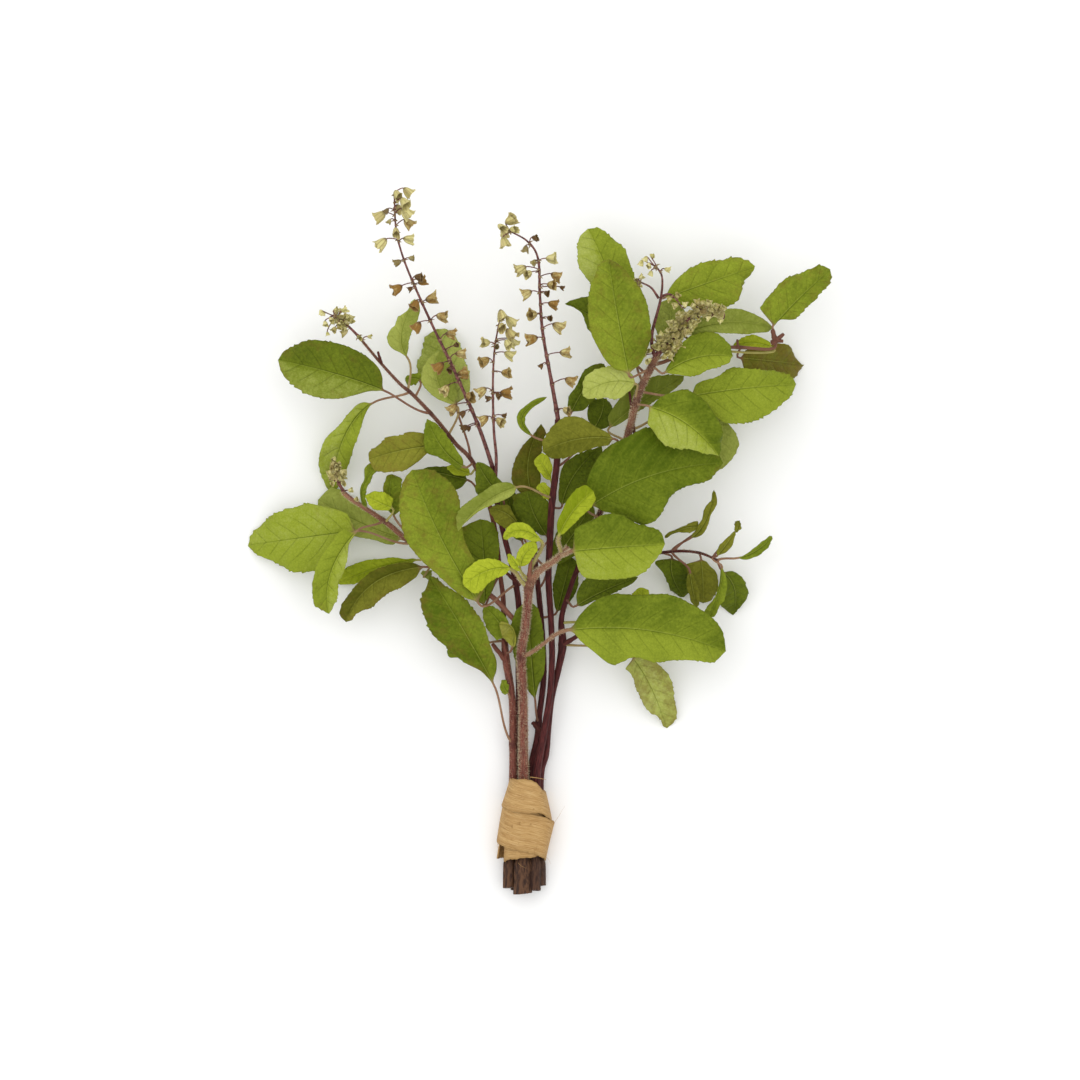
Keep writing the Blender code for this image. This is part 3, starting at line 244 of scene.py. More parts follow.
# A leaf's petiole leaves its stem nearest to joins. Its midrib runs from base over middle to tip.
# left and right are the half widths at BLADE_STATIONS, seen along that way. roll turns the blade
# about the midrib and fold lifts both halves, in degrees.
LEAVES = (
    Leaf("leaf_upper_left_large", "branch_upper_left", (-31, 137), (-46.3, 143.6, 25),
         (-62.8, 149.2, 28), (-82, 154, 22), (0.7, 2.4, 5.4, 8.4, 9.3, 8.8, 6.6, 3.5),
         (2.2, 6.4, 9.1, 10.3, 10.3, 9.5, 6.9, 4.1), 0, 12, "leaf_dark",
         Look(tone=0.6, brown=0.2, halves=0.5, teeth=1.2)),
    Leaf("leaf_upper_left_hanging", "branch_upper_left", (-38.3, 143.6), (-50.5, 139.8, 17),
         (-59.9, 128.8, 14), (-65.1, 110.2, 0.1), (0.3, 1.2, 3, 3.9, 4.7, 4.6, 4.1, 2.3),
         (1.3, 2.9, 2.8, 3.6, 6.2, 5.9, 4.7, 2.2), 0, 12, "leaf_green",
         Look(tone=0.75, halves=-0.2, twist=12, wave=0.4)),
    Leaf("leaf_upper_left_pale", "branch_upper_left", (-38.6, 143.8), (-39.1, 155.1, 18),
         (-41.1, 163.1, 19), (-36.5, 174.6, 16), (0.3, 1.3, 3.6, 4.5, 2.6, 2.4, 0.5, 0.6),
         (0.7, 1.9, 2.8, 3.3, 3.8, 4.2, 3.9, 2.9), 0, 10, "leaf_pale",
         Look(tone=0.1, brown=0, halves=0.2)),
    Leaf("leaf_behind_left_spike", "branch_upper_left", (-18, 121.6), (-22.8, 139.2, 13),
         (-25.5, 152.1, 8), (-29.4, 165.1, 0.1), (2.9, 7, 9.2, 10.3, 10.3, 8.4, 6.4, 3.8),
         (3.2, 5.9, 6.6, 6.5, 6, 5.9, 5.1, 2.6), 0, 10, "leaf_dark",
         Look(tone=1.5, brown=0, halves=-0.2, teeth=1.3)),
    Leaf("leaf_upper_left_cupped", "branch_upper_left", (-25, 129), (-22.7, 139.1, 17),
         (-29.1, 147.5, 16), (-28.1, 157.3, 14), (0.8, 2, 3.6, 4.9, 5.1, 4.2, 2.5, 1),
         (2.8, 4.1, 5.1, 5.6, 5.7, 5.5, 4.9, 3.8), 0, 16, "leaf_pale",
         Look(tone=0.1, brown=0, halves=0.3)),
    Leaf("leaf_left_brown", "branch_upper_left", (-24, 127.3), (-30.7, 125.3, 22),
         (-41.3, 123.7, 23), (-51.8, 120.7, 18), (1.4, 3.3, 5.4, 6.5, 6.6, 6.3, 5.5, 4.2),
         (3.3, 5.2, 5.8, 5.2, 5.4, 4.5, 3.7, 2.6), 0, 10, "leaf_olive",
         Look(tone=0.4, brown=0.3, halves=0.1, wave=0.3)),
    Leaf("leaf_left_narrow", "branch_upper_left", (-17, 120), (-20, 118.3, 22), (-27, 124.3, 24),
         (-32.3, 134.3, 25.6), (1.8, 1.6, 1.9, 2.9, 5.2, 4.4, 2.5, 0.9),
         (1.3, 2.5, 3.1, 3.7, 3.9, 3.7, 2.7, 1.3), 0, 12, "leaf_green", Look(tone=-0.1, brown=0)),
    Leaf("leaf_centre_left_large", "stem_left_spikes", (-2.8, 79), (-15, 72.7, 24),
         (-27.9, 95.3, 31), (-37.2, 117.3, 29), (1.8, 4.4, 7, 9.6, 10.9, 9.4, 7.2, 3.8),
         (4.4, 6.9, 6.6, 7.4, 10.2, 11.6, 9.9, 6), 0, 12, "leaf_green",
         Look(tone=0.05, brown=0.35, halves=0.2)),
    Leaf("leaf_centre_grey", "stem_middle_spike", (9.4, 108), (-2, 111.6, 32), (-12.9, 106.3, 34),
         (-21.8, 97, 34), (1.2, 2.4, 2.7, 2, 1.2, 0.6, 0.3, 0.3),
         (1.3, 3, 3.7, 3.6, 3.8, 4.3, 3.6, 1.8), 0, 12, "leaf_pale",
         Look(tone=-0.2, brown=0.15, halves=0.3, twist=8)),
    Leaf("leaf_centre_dark", "stem_left_spikes", (-8, 100.7), (-7.6, 108.6, 26),
         (-11.9, 113.6, 28), (-15.6, 119.9, 29), (1.4, 2.8, 4.9, 5.6, 4.5, 3.1, 1.8, 0.9),
         (2.9, 3.4, 3.7, 3.5, 3.4, 3.2, 2.4, 1.3), 0, 10, "leaf_dark", Look(tone=0.1)),
    Leaf("leaf_far_left", "twig_left", (-38, 93), (-55.9, 97, 14), (-73.4, 94.7, 12),
         (-93.1, 92, 0.1), (2, 5.6, 9.1, 11.4, 11.2, 8.8, 5.4, 2.3),
         (5.1, 7.8, 9.8, 11.6, 10.9, 9.3, 7.4, 3.7), 0, 8, "leaf_green",
         Look(tone=0.75, halves=-0.1, twist=8, teeth=1.2)),
    Leaf("leaf_far_left_under", "twig_left", (-39, 94), (-41, 94.3, 9.6), (-55.1, 99.7, 7),
         (-69.4, 107.5, 2), (2.4, 3.4, 3.4, 4.5, 5.4, 4.4, 3.1, 2.3),
         (1.6, 2.9, 4, 4.7, 5.3, 6, 6.8, 5.6), 0, 6, "leaf_pale"),
    Leaf("leaf_far_left_rolled", "twig_left", (-47, 100.7), (-55.8, 97, 19), (-64.3, 83.3, 22),
         (-65.2, 69.3, 17), (0.5, 0.9, 3.2, 4, 3.5, 3.6, 3.2, 1.6),
         (3.1, 4.7, 4.8, 5.8, 5.6, 5.5, 4.8, 1.5), 10, 12, "leaf_green",
         Look(tone=0.75, brown=0.15, halves=0.3, twist=14)),
    Leaf("leaf_left_low_pale", "twig_left", (-28, 87), (-35.6, 87.3, 9), (-49.1, 84.6, 7),
         (-62.7, 79.2, 2), (0.4, 1.9, 2.8, 2.6, 2.6, 2.7, 2.2, 1.1),
         (0.8, 0.9, 2, 2.8, 3.7, 4.1, 3.9, 1.8), 0, 6, "leaf_bright", Look(tone=-0.3, brown=0)),
    Leaf("leaf_left_low_olive", "twig_left", (-24.7, 84.7), (-33.4, 85, 18), (-50.1, 79.6, 18),
         (-59.7, 66.5, 11), (2.4, 4.5, 5.7, 5.5, 5.9, 5.7, 2.7, 1.8),
         (1.3, 2.5, 3.1, 3.6, 3.8, 3.5, 3.7, 2.9), 0, 12, "leaf_olive",
         Look(tone=-0.3, brown=0.2, halves=0.3, twist=8)),
    Leaf("leaf_front_left_low", "stem_left", (-3.7, 25.7), (-10.1, 45.5, 15), (-20.7, 64.7, 21),
         (-31.7, 82, 19), (0.5, 2.1, 5.7, 7.8, 9.7, 9.1, 7.1, 1.9),
         (1.5, 4.8, 5.7, 6.9, 6.7, 5.7, 3.1, 1.8), 0, 10, "leaf_green",
         Look(tone=-0.3, brown=0.35, halves=-0.15, teeth=1.3)),
    Leaf("leaf_between_stems", "stem_back", (5.3, 33.3), (3.7, 40.3, 8.8), (2.3, 55.5, 12.8),
         (1.3, 73.6, 19.4), (0.7, 2.4, 4, 5.4, 6.3, 6.5, 5.5, 3),
         (0.4, 1.7, 3.6, 4.6, 4.9, 4.8, 4.1, 2.7), 0, 0, "leaf_dark",
         Look(tone=0.2, brown=0, twist=0)),
    Leaf("leaf_young_left", "stem_front", (1, 79), (-4.3, 84.4, 29), (-12.3, 83.7, 31),
         (-19.9, 78.7, 30), (0.9, 2.3, 3.1, 3.6, 4.4, 5, 5.1, 3.9),
         (0.9, 1.9, 3, 4.1, 4.7, 4.3, 3.5, 1.6), 0, 14, "leaf_bright",
         Look(tone=0.15, brown=0, stalk=0.6, teeth=1.3)),
    Leaf("leaf_young_top", "stem_front", (2, 80.5), (5.7, 93.7, 31.5), (-1, 97, 35.5),
         (-6.6, 94.3, 31), (1.1, 2.3, 2.5, 2.5, 2.3, 1.8, 1.3, 0.9),
         (0.5, 1.1, 2.1, 2.9, 3, 2.6, 1.8, 1.1), 0, 20, "leaf_bright",
         Look(tone=0.1, brown=0, stalk=0.55)),
    Leaf("leaf_young_right", "stem_front", (12.7, 90), (11.6, 95.4, 34), (16.2, 103.6, 37),
         (23, 110.2, 37), (0.9, 1.9, 2.8, 3.4, 3.9, 4.2, 4.1, 3.2),
         (1, 2.1, 2.9, 3.3, 3.6, 3.8, 3.6, 2.7), 0, 14, "leaf_bright",
         Look(tone=-0.5, brown=0.1, halves=-0.3, stalk=0.5, teeth=1.4)),
    Leaf("leaf_right_front", "stem_front", (12, 89), (15.9, 90.4, 34), (30.1, 91.7, 38),
         (46.8, 92.7, 33), (5.8, 8.6, 9.6, 11.3, 10.7, 7.9, 6, 4.2),
         (3.9, 9, 10.6, 10.8, 10.8, 9.8, 6.4, 3.1), 0, 10, "leaf_green",
         Look(tone=0.25, brown=0, halves=-0.5, stalk=0.6, teeth=0.9)),
    Leaf("leaf_right_largest", "stem_front", (-0.7, 55), (14.3, 64, 24), (41.2, 64.1, 27),
         (67.4, 56.9, 19), (2.1, 7.1, 11.2, 11.4, 13.4, 11.4, 8.7, 4.3),
         (2.2, 7.2, 12.7, 9.4, 10.5, 8.8, 6.2, 4.8), 0, 8, "leaf_green",
         Look(tone=0.1, brown=0, halves=-0.3, wave=0.5, stalk=0.6, teeth=0.8)),
    Leaf("leaf_right_hanging", "stem_right", (12.9, 59), (36.4, 54.9, 16), (42.9, 44.4, 10),
         (48.1, 30.6, 0.1), (3, 5, 6.2, 6.9, 6.2, 5.8, 5.1, 3),
         (4.4, 4.4, 4.2, 4.9, 4.9, 4.5, 1.8, 1.2), 0, 8, "leaf_pale",
         Look(tone=0.9, brown=0.5, twist=10, wave=0.4, teeth=1.2)),
    Leaf("leaf_top_back", "stem_right", (39.6, 146), (34.3, 166.5, 27), (27.3, 184.5, 26),
         (21.3, 197.8, 20), (1.8, 4.1, 5.9, 6.9, 8.4, 7.3, 6, 3.4),
         (2.5, 5.5, 7.7, 8, 8.2, 6.7, 5.2, 2.6), 0, 8, "leaf_green",
         Look(tone=0.75, brown=0, halves=0.4)),
    Leaf("leaf_top_front", "stem_right", (41.6, 150), (34.8, 148.3, 37), (30.8, 168.3, 41),
         (27.9, 187.1, 35), (2.8, 6.2, 8.7, 10.1, 9.4, 8, 5.4, 3.6),
         (3, 7, 9.9, 10.7, 10.6, 8.3, 5.1, 2.5), 0, 12, "leaf_green",
         Look(tone=0.05, brown=0.3, halves=0.15, teeth=0.8)),
    Leaf("leaf_top_right_broad", "spike_top_right", (45.3, 174), (46.5, 174.3, 32),
         (60.5, 179.4, 28), (77, 185.3, 22), (1.3, 3.6, 5.4, 6.6, 6.9, 5.7, 5.3, 2.7),
         (0.9, 3.9, 6.4, 8.2, 9.9, 9, 4.2, 2.1), 0, 8, "leaf_green",
         Look(tone=0.3, brown=0.25, halves=0.1, teeth=1.2)),
    Leaf("leaf_top_right_pale", "twig_far_right", (60, 157.4), (53.1, 162.6, 33),
         (67.7, 166.3, 33), (82.7, 164.4, 30), (0.6, 2.3, 3.7, 4.4, 4.3, 3.6, 2.4, 1),
         (1.9, 2.5, 3, 3.7, 4.1, 3.8, 3, 1.9), 0, 10, "leaf_pale",
         Look(tone=-0.4, brown=0.1, teeth=0.6)),
    Leaf("leaf_far_right_top", "twig_far_right", (83, 163), (82.6, 165, 32), (90.7, 173.7, 30),
         (102, 184.3, 22), (6.9, 7.7, 8.1, 8.3, 7.8, 6, 4.4, 3),
         (0.4, 0.7, 3.6, 4.2, 4.5, 4.1, 4, 2.4), 0, 12, "leaf_green",
         Look(tone=0.1, brown=0.3, wave=0.3, teeth=1.3)),
    Leaf("leaf_far_right_brown", "twig_far_right", (72, 158), (72, 154.7, 22), (83, 153.9, 14),
         (94.3, 153, 0.1), (2.2, 3.5, 4.3, 5.2, 6.2, 5.5, 3, 0.3),
         (3.1, 4.7, 6.1, 6.6, 6.9, 6.2, 4, 1.4), 0, 8, "leaf_olive", Look(tone=-0.1, brown=0.55)),
    Leaf("leaf_upper_right_broad", "stem_right", (38.5, 143.5), (55.2, 141.9, 27),
         (72.5, 144.5, 27), (90.9, 146.1, 17), (2.9, 4.4, 4.8, 7.6, 6.2, 5.4, 4.6, 2.6),
         (1.5, 5.2, 10.7, 11.8, 11.6, 9.8, 5.8, 3.1), 0, 8, "leaf_green",
         Look(tone=0.35, brown=0.05, halves=-0.15, teeth=1.2)),
    Leaf("leaf_upper_right_oval", "stem_right", (42.5, 151.5), (46.4, 149.3, 33.6),
         (57.3, 154.6, 34.4), (69.3, 155, 33), (0.7, 2.2, 4.5, 6.7, 7.9, 7.7, 5.8, 2.4),
         (1.3, 3.2, 5.3, 6.1, 5.5, 5, 3.9, 2.1), 0, 10, "leaf_green",
         Look(tone=0.25, brown=0.05, halves=-0.4, teeth=1.4)),
    # Its two tones are painted light and shade, through halves.
    Leaf("leaf_upper_right_two_tone", "stem_right", (37.3, 139), (41.1, 138.4, 36),
         (54.2, 132.3, 40), (64.6, 121.8, 34), (0.4, 5.1, 9.5, 9.9, 9, 7.5, 5, 2),
         (5.3, 7.5, 9.3, 10.1, 9, 5.9, 3.4, 1.1), 0, 12, "leaf_green",
         Look(tone=0.4, brown=0, halves=-0.75)),
    Leaf("leaf_right_behind", "stem_right", (34.7, 130), (57.7, 139.3, 22), (64.1, 127.4, 18),
         (62.3, 115.1, 10), (1.9, 3.3, 4.7, 6.9, 7.4, 5.3, 2.3, 0.7),
         (1.8, 4, 5.6, 6.2, 6.1, 5.7, 4.5, 3), 0, 6, "leaf_pale"),
    Leaf("leaf_right_toothed", "stem_right", (25, 102), (21.6, 105, 28), (42.5, 115.5, 33),
         (66.2, 119.6, 27), (4.3, 9.6, 13.9, 15, 15.6, 9.3, 7.7, 4.6),
         (2.4, 7.2, 13.9, 14.6, 9, 6.8, 5.6, 2.9), 0, 8, "leaf_green",
         Look(tone=-0.45, brown=0.05, halves=-0.1, wave=0.3, teeth=0.7)),
    Leaf("leaf_upper_right_bright", "stem_right", (37.4, 141), (37.2, 145.7, 33.4),
         (27.9, 146, 34.6), (19.6, 141.7, 33.6), (2.3, 3.8, 5.6, 5.8, 5, 4.3, 3.3, 2.1),
         (1.9, 3.6, 4.7, 5.5, 5.5, 5.5, 4.2, 1.4), 0, 10, "leaf_pale",
         Look(tone=0.75, brown=0, teeth=1.4)),
    Leaf("leaf_behind_middle_spike", "stem_middle_spike", (11.2, 132), (15.7, 136.3, 24),
         (20, 144.3, 22), (26.7, 152.8, 19), (1.5, 2.5, 3.3, 2.9, 3.3, 3.5, 2.9, 1.4),
         (0.8, 3.2, 4.4, 5, 5, 4.5, 3.6, 2.6), 0, 8, "leaf_dark"),
    Leaf("leaf_middle_olive", "stem_right", (33, 125), (29.9, 127.5, 34), (17.9, 127.4, 35.4),
         (6.3, 123.2, 34), (2.3, 2.9, 3.6, 4.4, 4.9, 5.1, 4.5, 3),
         (1, 2.5, 4.5, 7.2, 8.2, 6.9, 5.1, 2.6), 0, 10, "leaf_olive",
         Look(tone=-0.2, brown=0, halves=-0.2)),
    Leaf("leaf_middle_brown", "stem_back", (2.7, 100), (3.7, 106.7, 13), (1.3, 119.4, 14),
         (5.7, 132.9, 12), (1.1, 3.3, 5.4, 5.1, 4.3, 2.7, 0.8, 0.3),
         (1.4, 3.1, 4.2, 4.5, 4.2, 3.7, 3.2, 2.7), 0, 6, "leaf_olive",
         Look(tone=-0.4, brown=0.35, twist=4)),
    Leaf("leaf_low_right_twisted", "twig_low_right", (49, 90), (55.8, 94.7, 16), (60.7, 100.7, 19),
         (63.4, 110.7, 18), (0.7, 1.1, 1.2, 1.2, 1.7, 1.8, 0.3, 0.4),
         (0.4, 1.4, 2, 1.5, 0.8, 1.6, 1.9, 0.9), 12, 10, "leaf_olive"),
    Leaf("leaf_low_right_dark", "twig_low_right", (47, 90), (49.6, 88, 10), (50, 81.6, 7),
         (53.8, 74.8, 2), (4.4, 5, 5.7, 6.2, 6.1, 5.8, 5.3, 3.6),
         (2.2, 5.5, 3.5, 2.8, 2.6, 2.5, 1.9, 1), 0, 6, "leaf_dark"),
    Leaf("leaf_low_right_rounded", "twig_low_right", (58.7, 89.7), (59.3, 87.6, 12), (60, 80.6, 9),
         (60.1, 72.8, 5), (1.4, 2.7, 4.1, 5, 5, 4.6, 3.9, 2.6),
         (5.1, 5.3, 5.4, 5.1, 4.8, 4.3, 3.2, 1.7), 0, 6, "leaf_olive"),
    Leaf("leaf_low_right_tip", "twig_low_right", (64.5, 87.4), (66.6, 83.3, 14), (70.8, 77.2, 8),
         (70.4, 68.7, 0.1), (0.9, 2.6, 3.6, 3.9, 4.5, 3.4, 1.3, 0.5),
         (2.6, 3.9, 4.8, 5.3, 5.5, 5.4, 4.7, 2.8), 0, 6, "leaf_dark"),
)

# Small leaves between the others. No CAD node stands for them.
SMALL_LEAVES = (
    Leaf("small_leaf_left_edge", "twig_left", (-39, 94), (-43.5, 102, 16), (-44.8, 109, 18),
         (-44.1, 116, 18), (0.3, 1.3, 1.7, 2.2, 2.3, 2.2, 2, 1.5),
         (1.8, 2.7, 3.4, 3.8, 4.1, 4, 3.7, 3.4), 0, 14, "leaf_green", Look(tone=-0.2, brown=0.3)),
    Leaf("small_leaf_left_curled", "twig_left", (-56, 106.5), (-52.5, 104.7, 16),
         (-54.4, 110.7, 17), (-49.1, 119.4, 15.5), (0.3, 0.3, 0.3, 0.3, 0.5, 0.4, 2.6, 2.1),
         (0.9, 1.4, 1.5, 1.8, 1.7, 2.1, 1.3, 1.6), 0, 14, "leaf_green"),
    Leaf("small_leaf_left_bright", "twig_left", (-46, 100), (-44.1, 104.7, 21), (-48.8, 106.7, 22),
         (-52.8, 109, 20.5), (1.2, 1.7, 2.1, 2.7, 2.5, 2.3, 1.4, 0.8),
         (3.1, 3.4, 3.8, 3.8, 3.7, 3, 2.1, 0.8), 0, 10, "leaf_bright"),
    Leaf("small_leaf_left_dark", "stem_left", (-12, 107), (-18.7, 114, 15), (-26.4, 116, 15),
         (-34.1, 117.4, 13), (1.8, 3.9, 5.1, 5.1, 4.2, 3.2, 2, 0.9),
         (0.5, 2.9, 3.4, 3, 2.5, 2.1, 1.5, 0.8), 0, 10, "leaf_dark"),
    Leaf("small_leaf_left_sunlit", "branch_upper_left", (-15, 118), (-18, 116, 17),
         (-22, 117.3, 18.5), (-25.7, 118.7, 18), (0.8, 1.1, 1.5, 1.7, 1.8, 1.8, 1.2, 0.8),
         (0.6, 1.9, 2.3, 2.7, 2.3, 1.9, 1.2, 0.3), 0, 12, "leaf_bright"),
    Leaf("small_leaf_centre_left", "stem_left", (-8, 82), (-13.4, 71.9, 16.4), (-13.4, 86.3, 18.6),
         (-14.7, 101, 19), (3, 5.4, 7, 8, 8.5, 8.2, 7.7, 4.9),
         (0.4, 2.2, 3.4, 4.5, 5.3, 5.7, 5.3, 3.5), 0, 8, "leaf_dark", Look(tone=0.3)),
    Leaf("small_leaf_centre_curled", "stem_middle_spike", (8.3, 84), (-1.7, 98, 22),
         (-5.7, 102.7, 25), (-11.6, 104.3, 24), (2.2, 3.5, 4.3, 4.7, 4.4, 3.9, 3.1, 1.6),
         (0.3, 0.5, 1.2, 2, 3, 2.2, 1.5, 0.6), 10, 14, "leaf_olive"),
    Leaf("small_leaf_upper_node", "branch_upper_left", (-36, 141.5), (-35, 147.4, 17),
         (-37, 148, 17.5), (-39.7, 147.4, 16), (2.1, 2.2, 2.2, 2.3, 2.4, 2.3, 2, 1.8),
         (1.1, 2, 2.2, 1.8, 1.6, 1.3, 1, 0.8), 0, 12, "leaf_green"),
    Leaf("small_leaf_top_dark", "stem_right", (41, 149), (32.5, 157.7, 31), (23.9, 167, 32),
         (13.6, 172.4, 30), (1.4, 2.8, 4.2, 4.6, 3.3, 0.7, 0.3, 0.3),
         (0.5, 2.1, 3.2, 4.4, 5.6, 5.2, 3.4, 1.3), 0, 8, "leaf_dark"),
    Leaf("small_leaf_spike_pale", "stem_right", (43, 153), (47.9, 157.1, 28), (48.9, 165.5, 27),
         (47.9, 174.2, 25), (1.9, 3.6, 4.6, 5.3, 5.2, 4.9, 4.1, 3),
         (0.3, 3, 4.7, 5.7, 5.7, 4.9, 3.8, 2.2), 0, 8, "leaf_pale"),
    Leaf("small_leaf_far_right", "twig_far_right", (62, 157.6), (82.5, 157.9, 26),
         (75.6, 159.6, 25), (69, 158, 23), (0.6, 1.2, 1.7, 2, 2, 1.7, 1.3, 0.8),
         (1.1, 1.8, 2.4, 2.7, 2.4, 1.8, 1.3, 0.3), 0, 8, "leaf_bright"),
    Leaf("small_leaf_right_shade", "stem_right", (34, 127), (28.4, 131.4, 20), (40, 140.7, 22),
         (53.4, 148.7, 21), (2.7, 3.8, 5.1, 6, 5.9, 4.8, 3, 1.2),
         (0.8, 1.5, 2.1, 2.3, 2.4, 2.6, 2.4, 1.6), 0, 8, "leaf_pale", Look(tone=-0.9)),
    Leaf("small_leaf_right_black", "stem_middle_spike", (10.5, 118), (23.4, 131.4, 18),
         (26, 136.7, 20), (26.4, 141.4, 19), (1.9, 3.6, 4.5, 4.9, 4.8, 4.5, 4.2, 3.3),
         (1.8, 3.2, 4.2, 4.1, 3.8, 3.1, 1.8, 0.9), 0, 6, "leaf_dark"),
    Leaf("small_leaf_middle_dark", "stem_middle_spike", (9.3, 105), (12.7, 105.4, 17),
         (16.7, 115.7, 19), (26, 125.4, 18), (1.1, 2.1, 3.1, 4.2, 4.8, 3.6, 1.9, 0.6),
         (0.8, 2.7, 4.5, 5.7, 5.9, 5.5, 4.1, 2.1), 0, 8, "leaf_dark"),
    Leaf("small_leaf_middle_low", "stem_back", (3.5, 90), (7.7, 95.3, 14), (3.3, 102.7, 16),
         (1, 110.4, 15), (1, 2.2, 3, 4.9, 5.4, 5.5, 5.5, 5),
         (1.5, 3, 4.6, 5.5, 6.1, 5.5, 4.3, 2.5), 0, 6, "leaf_dark"),
    Leaf("small_leaf_middle_bright", "stem_middle_spike", (9.3, 104), (9, 114, 20),
         (6.7, 118.3, 22), (4.3, 121.7, 21), (1, 1.6, 2.1, 2.3, 2.4, 2.2, 1.8, 1.4),
         (0.3, 0.9, 1.8, 2.7, 3, 3.4, 2.6, 1.9), 0, 10, "leaf_bright"),
    Leaf("small_leaf_middle_yellow", "stem_middle_spike", (9.3, 104), (9, 107.3, 17.5),
         (7, 110, 18.5), (5, 112.7, 17.5), (0.8, 1, 1.5, 1.5, 1.5, 1.5, 1.6, 1.1),
         (0.3, 0.7, 1.4, 2.2, 2.3, 2.2, 2.1, 1.4), 0, 10, "leaf_bright"),
    Leaf("small_leaf_right_hidden", "stem_right", (13, 66), (38.8, 71.9, 16), (39.1, 75, 17),
         (39.8, 78, 16), (0.4, 1.4, 2.6, 2.8, 3.1, 2.5, 1.9, 1),
         (0.4, 1.4, 2.2, 2.5, 2.8, 2.7, 2.3, 1.9), 0, 8, "leaf_bright"),
    Leaf("small_leaf_right_dark", "stem_right", (14, 74), (17.4, 72, 19), (27, 77.3, 21),
         (38.1, 81.6, 18), (1.4, 4.1, 6.2, 6.4, 5, 3.6, 2.2, 1),
         (1, 1.6, 1.7, 2.2, 2.3, 2.2, 1.6, 0.7), 0, 8, "leaf_dark"),
    Leaf("small_leaf_right_back", "stem_back", (5.5, 68), (11, 69.8, 4.6), (13.4, 78.9, 5.6),
         (15.8, 88.3, 5), (0.8, 1.8, 2.8, 3.5, 3.9, 4, 3.5, 2.7),
         (1.5, 2.6, 3.8, 4.5, 4.4, 4.1, 3.1, 2.1), 0, 4, "leaf_dark"),
    Leaf("small_leaf_low_right_end", "twig_low_right", (64.5, 87.4), (71.6, 88, 15),
         (78, 90.7, 14), (83.1, 95.3, 10), (0.3, 0.3, 0.7, 0.9, 1.2, 1.3, 1.1, 0.8),
         (0.6, 1.3, 1.6, 1.8, 1.8, 1.7, 1.3, 0.8), 0, 10, "leaf_green"),
    Leaf("small_leaf_low_right_up", "twig_low_right", (62.6, 88), (64.5, 88.7, 17),
         (67.8, 93, 18.6), (70.5, 97, 17), (0.6, 1.3, 1.5, 1.4, 1.2, 1, 0.6, 0.3),
         (0.3, 1, 1.8, 1.9, 1.7, 1.4, 1, 0.5), 0, 10, "leaf_olive"),
    Leaf("small_leaf_low_right_curl", "twig_low_right", (62.6, 88), (70.5, 96.7, 17),
         (71.5, 98.3, 17), (71.6, 100.4, 15), (0.3, 0.8, 1.1, 1.2, 1.3, 1.3, 1.2, 1.2),
         (0.5, 0.8, 1, 1.3, 0.9, 0.8, 0.7, 0.7), 10, 14, "leaf_olive"),
    Leaf("small_leaf_low_right_fold", "twig_low_right", (50, 90), (58.5, 98.3, 17),
         (52.8, 97.7, 18), (47.1, 94.7, 15), (1, 1.5, 1.9, 1.5, 0.7, 0.7, 0.4, 0.4),
         (2, 2.3, 1.4, 0.9, 0.6, 0.7, 1.1, 0.8), 10, 14, "leaf_olive"),
    Leaf("small_leaf_low_right_narrow", "twig_low_right", (49.5, 90), (55.6, 83.3, 13),
         (56.6, 77.2, 11), (58, 71.5, 8), (0.7, 1.2, 1.7, 1.9, 2, 1.7, 1.4, 0.9),
         (0.9, 1.4, 1.8, 2, 1.8, 1.6, 1.2, 0.7), 0, 14, "leaf_olive"),
    Leaf("small_leaf_low_right_folded", "twig_low_right", (62.5, 88), (66.2, 85, 16),
         (65.2, 76.6, 14), (62, 68.2, 10), (0.3, 1.2, 2.1, 2.6, 2.7, 1.9, 1.7, 1.5),
         (0.6, 0.6, 0.5, 0.5, 0.9, 1.5, 2.3, 2.1), 0, 16, "leaf_green"),
    Leaf("small_leaf_young_upper", "stem_front", (2.6, 81), (-1.3, 85, 29), (0.4, 89.7, 31.6),
         (4.3, 92.7, 33), (0.6, 1.7, 2.2, 2.5, 2.3, 2.2, 2, 1.2),
         (1.1, 2.2, 2.8, 3.2, 3.2, 3, 2.6, 2.1), 0, 18, "leaf_bright"),
    Leaf("small_leaf_young_bud", "stem_front", (1.6, 80), (-1.3, 83.7, 29.6), (-3.3, 86.7, 31.6),
         (-5.3, 89.4, 32), (0.6, 1.1, 1.7, 1.7, 1.7, 1.5, 1, 0.6),
         (0.3, 0.4, 0.8, 1.1, 1.1, 1.1, 0.9, 0.5), 0, 18, "leaf_bright"),
    Leaf("small_leaf_low_node", "stem_left", (-6.7, 60), (-5.4, 61.6, 16), (-9, 67.3, 17.4),
         (-13.4, 71.6, 17), (3.9, 4.3, 4.7, 4.5, 4.1, 3.6, 2.6, 1.6),
         (1.2, 2.1, 2.8, 2.9, 3, 2.5, 2.1, 1.2), 0, 10, "leaf_green"),
    Leaf("small_leaf_low_young", "stem_left", (-6, 56), (-4, 57.9, 17), (-4, 64, 19),
         (-8.3, 65.6, 20), (1, 2.7, 3.8, 4.1, 4.1, 4.1, 4.1, 3.5),
         (1.2, 1.2, 1.1, 0.8, 0.7, 1.2, 1.4, 1.4), 10, 30, "leaf_olive",
         Look(tone=0.9, brown=0.25, twist=12)),
    Leaf("small_leaf_low_shade", "stem_left", (-6.6, 60), (-19.4, 57.9, 14), (-22.8, 56.8, 13),
         (-25.8, 56.5, 11), (0.8, 1.5, 1.8, 2.3, 2.2, 1.9, 1.7, 0.8),
         (1.1, 1.7, 2.4, 2.5, 2.4, 2.4, 1.8, 1), 0, 8, "leaf_green"),
    Leaf("small_leaf_low_round", "stem_left", (-4, 41), (-5.4, 42.7, 10), (-6.7, 44.4, 10.6),
         (-7.4, 47.1, 10.2), (0.8, 1.2, 1.6, 1.4, 1.3, 0.9, 0.6, 0.4),
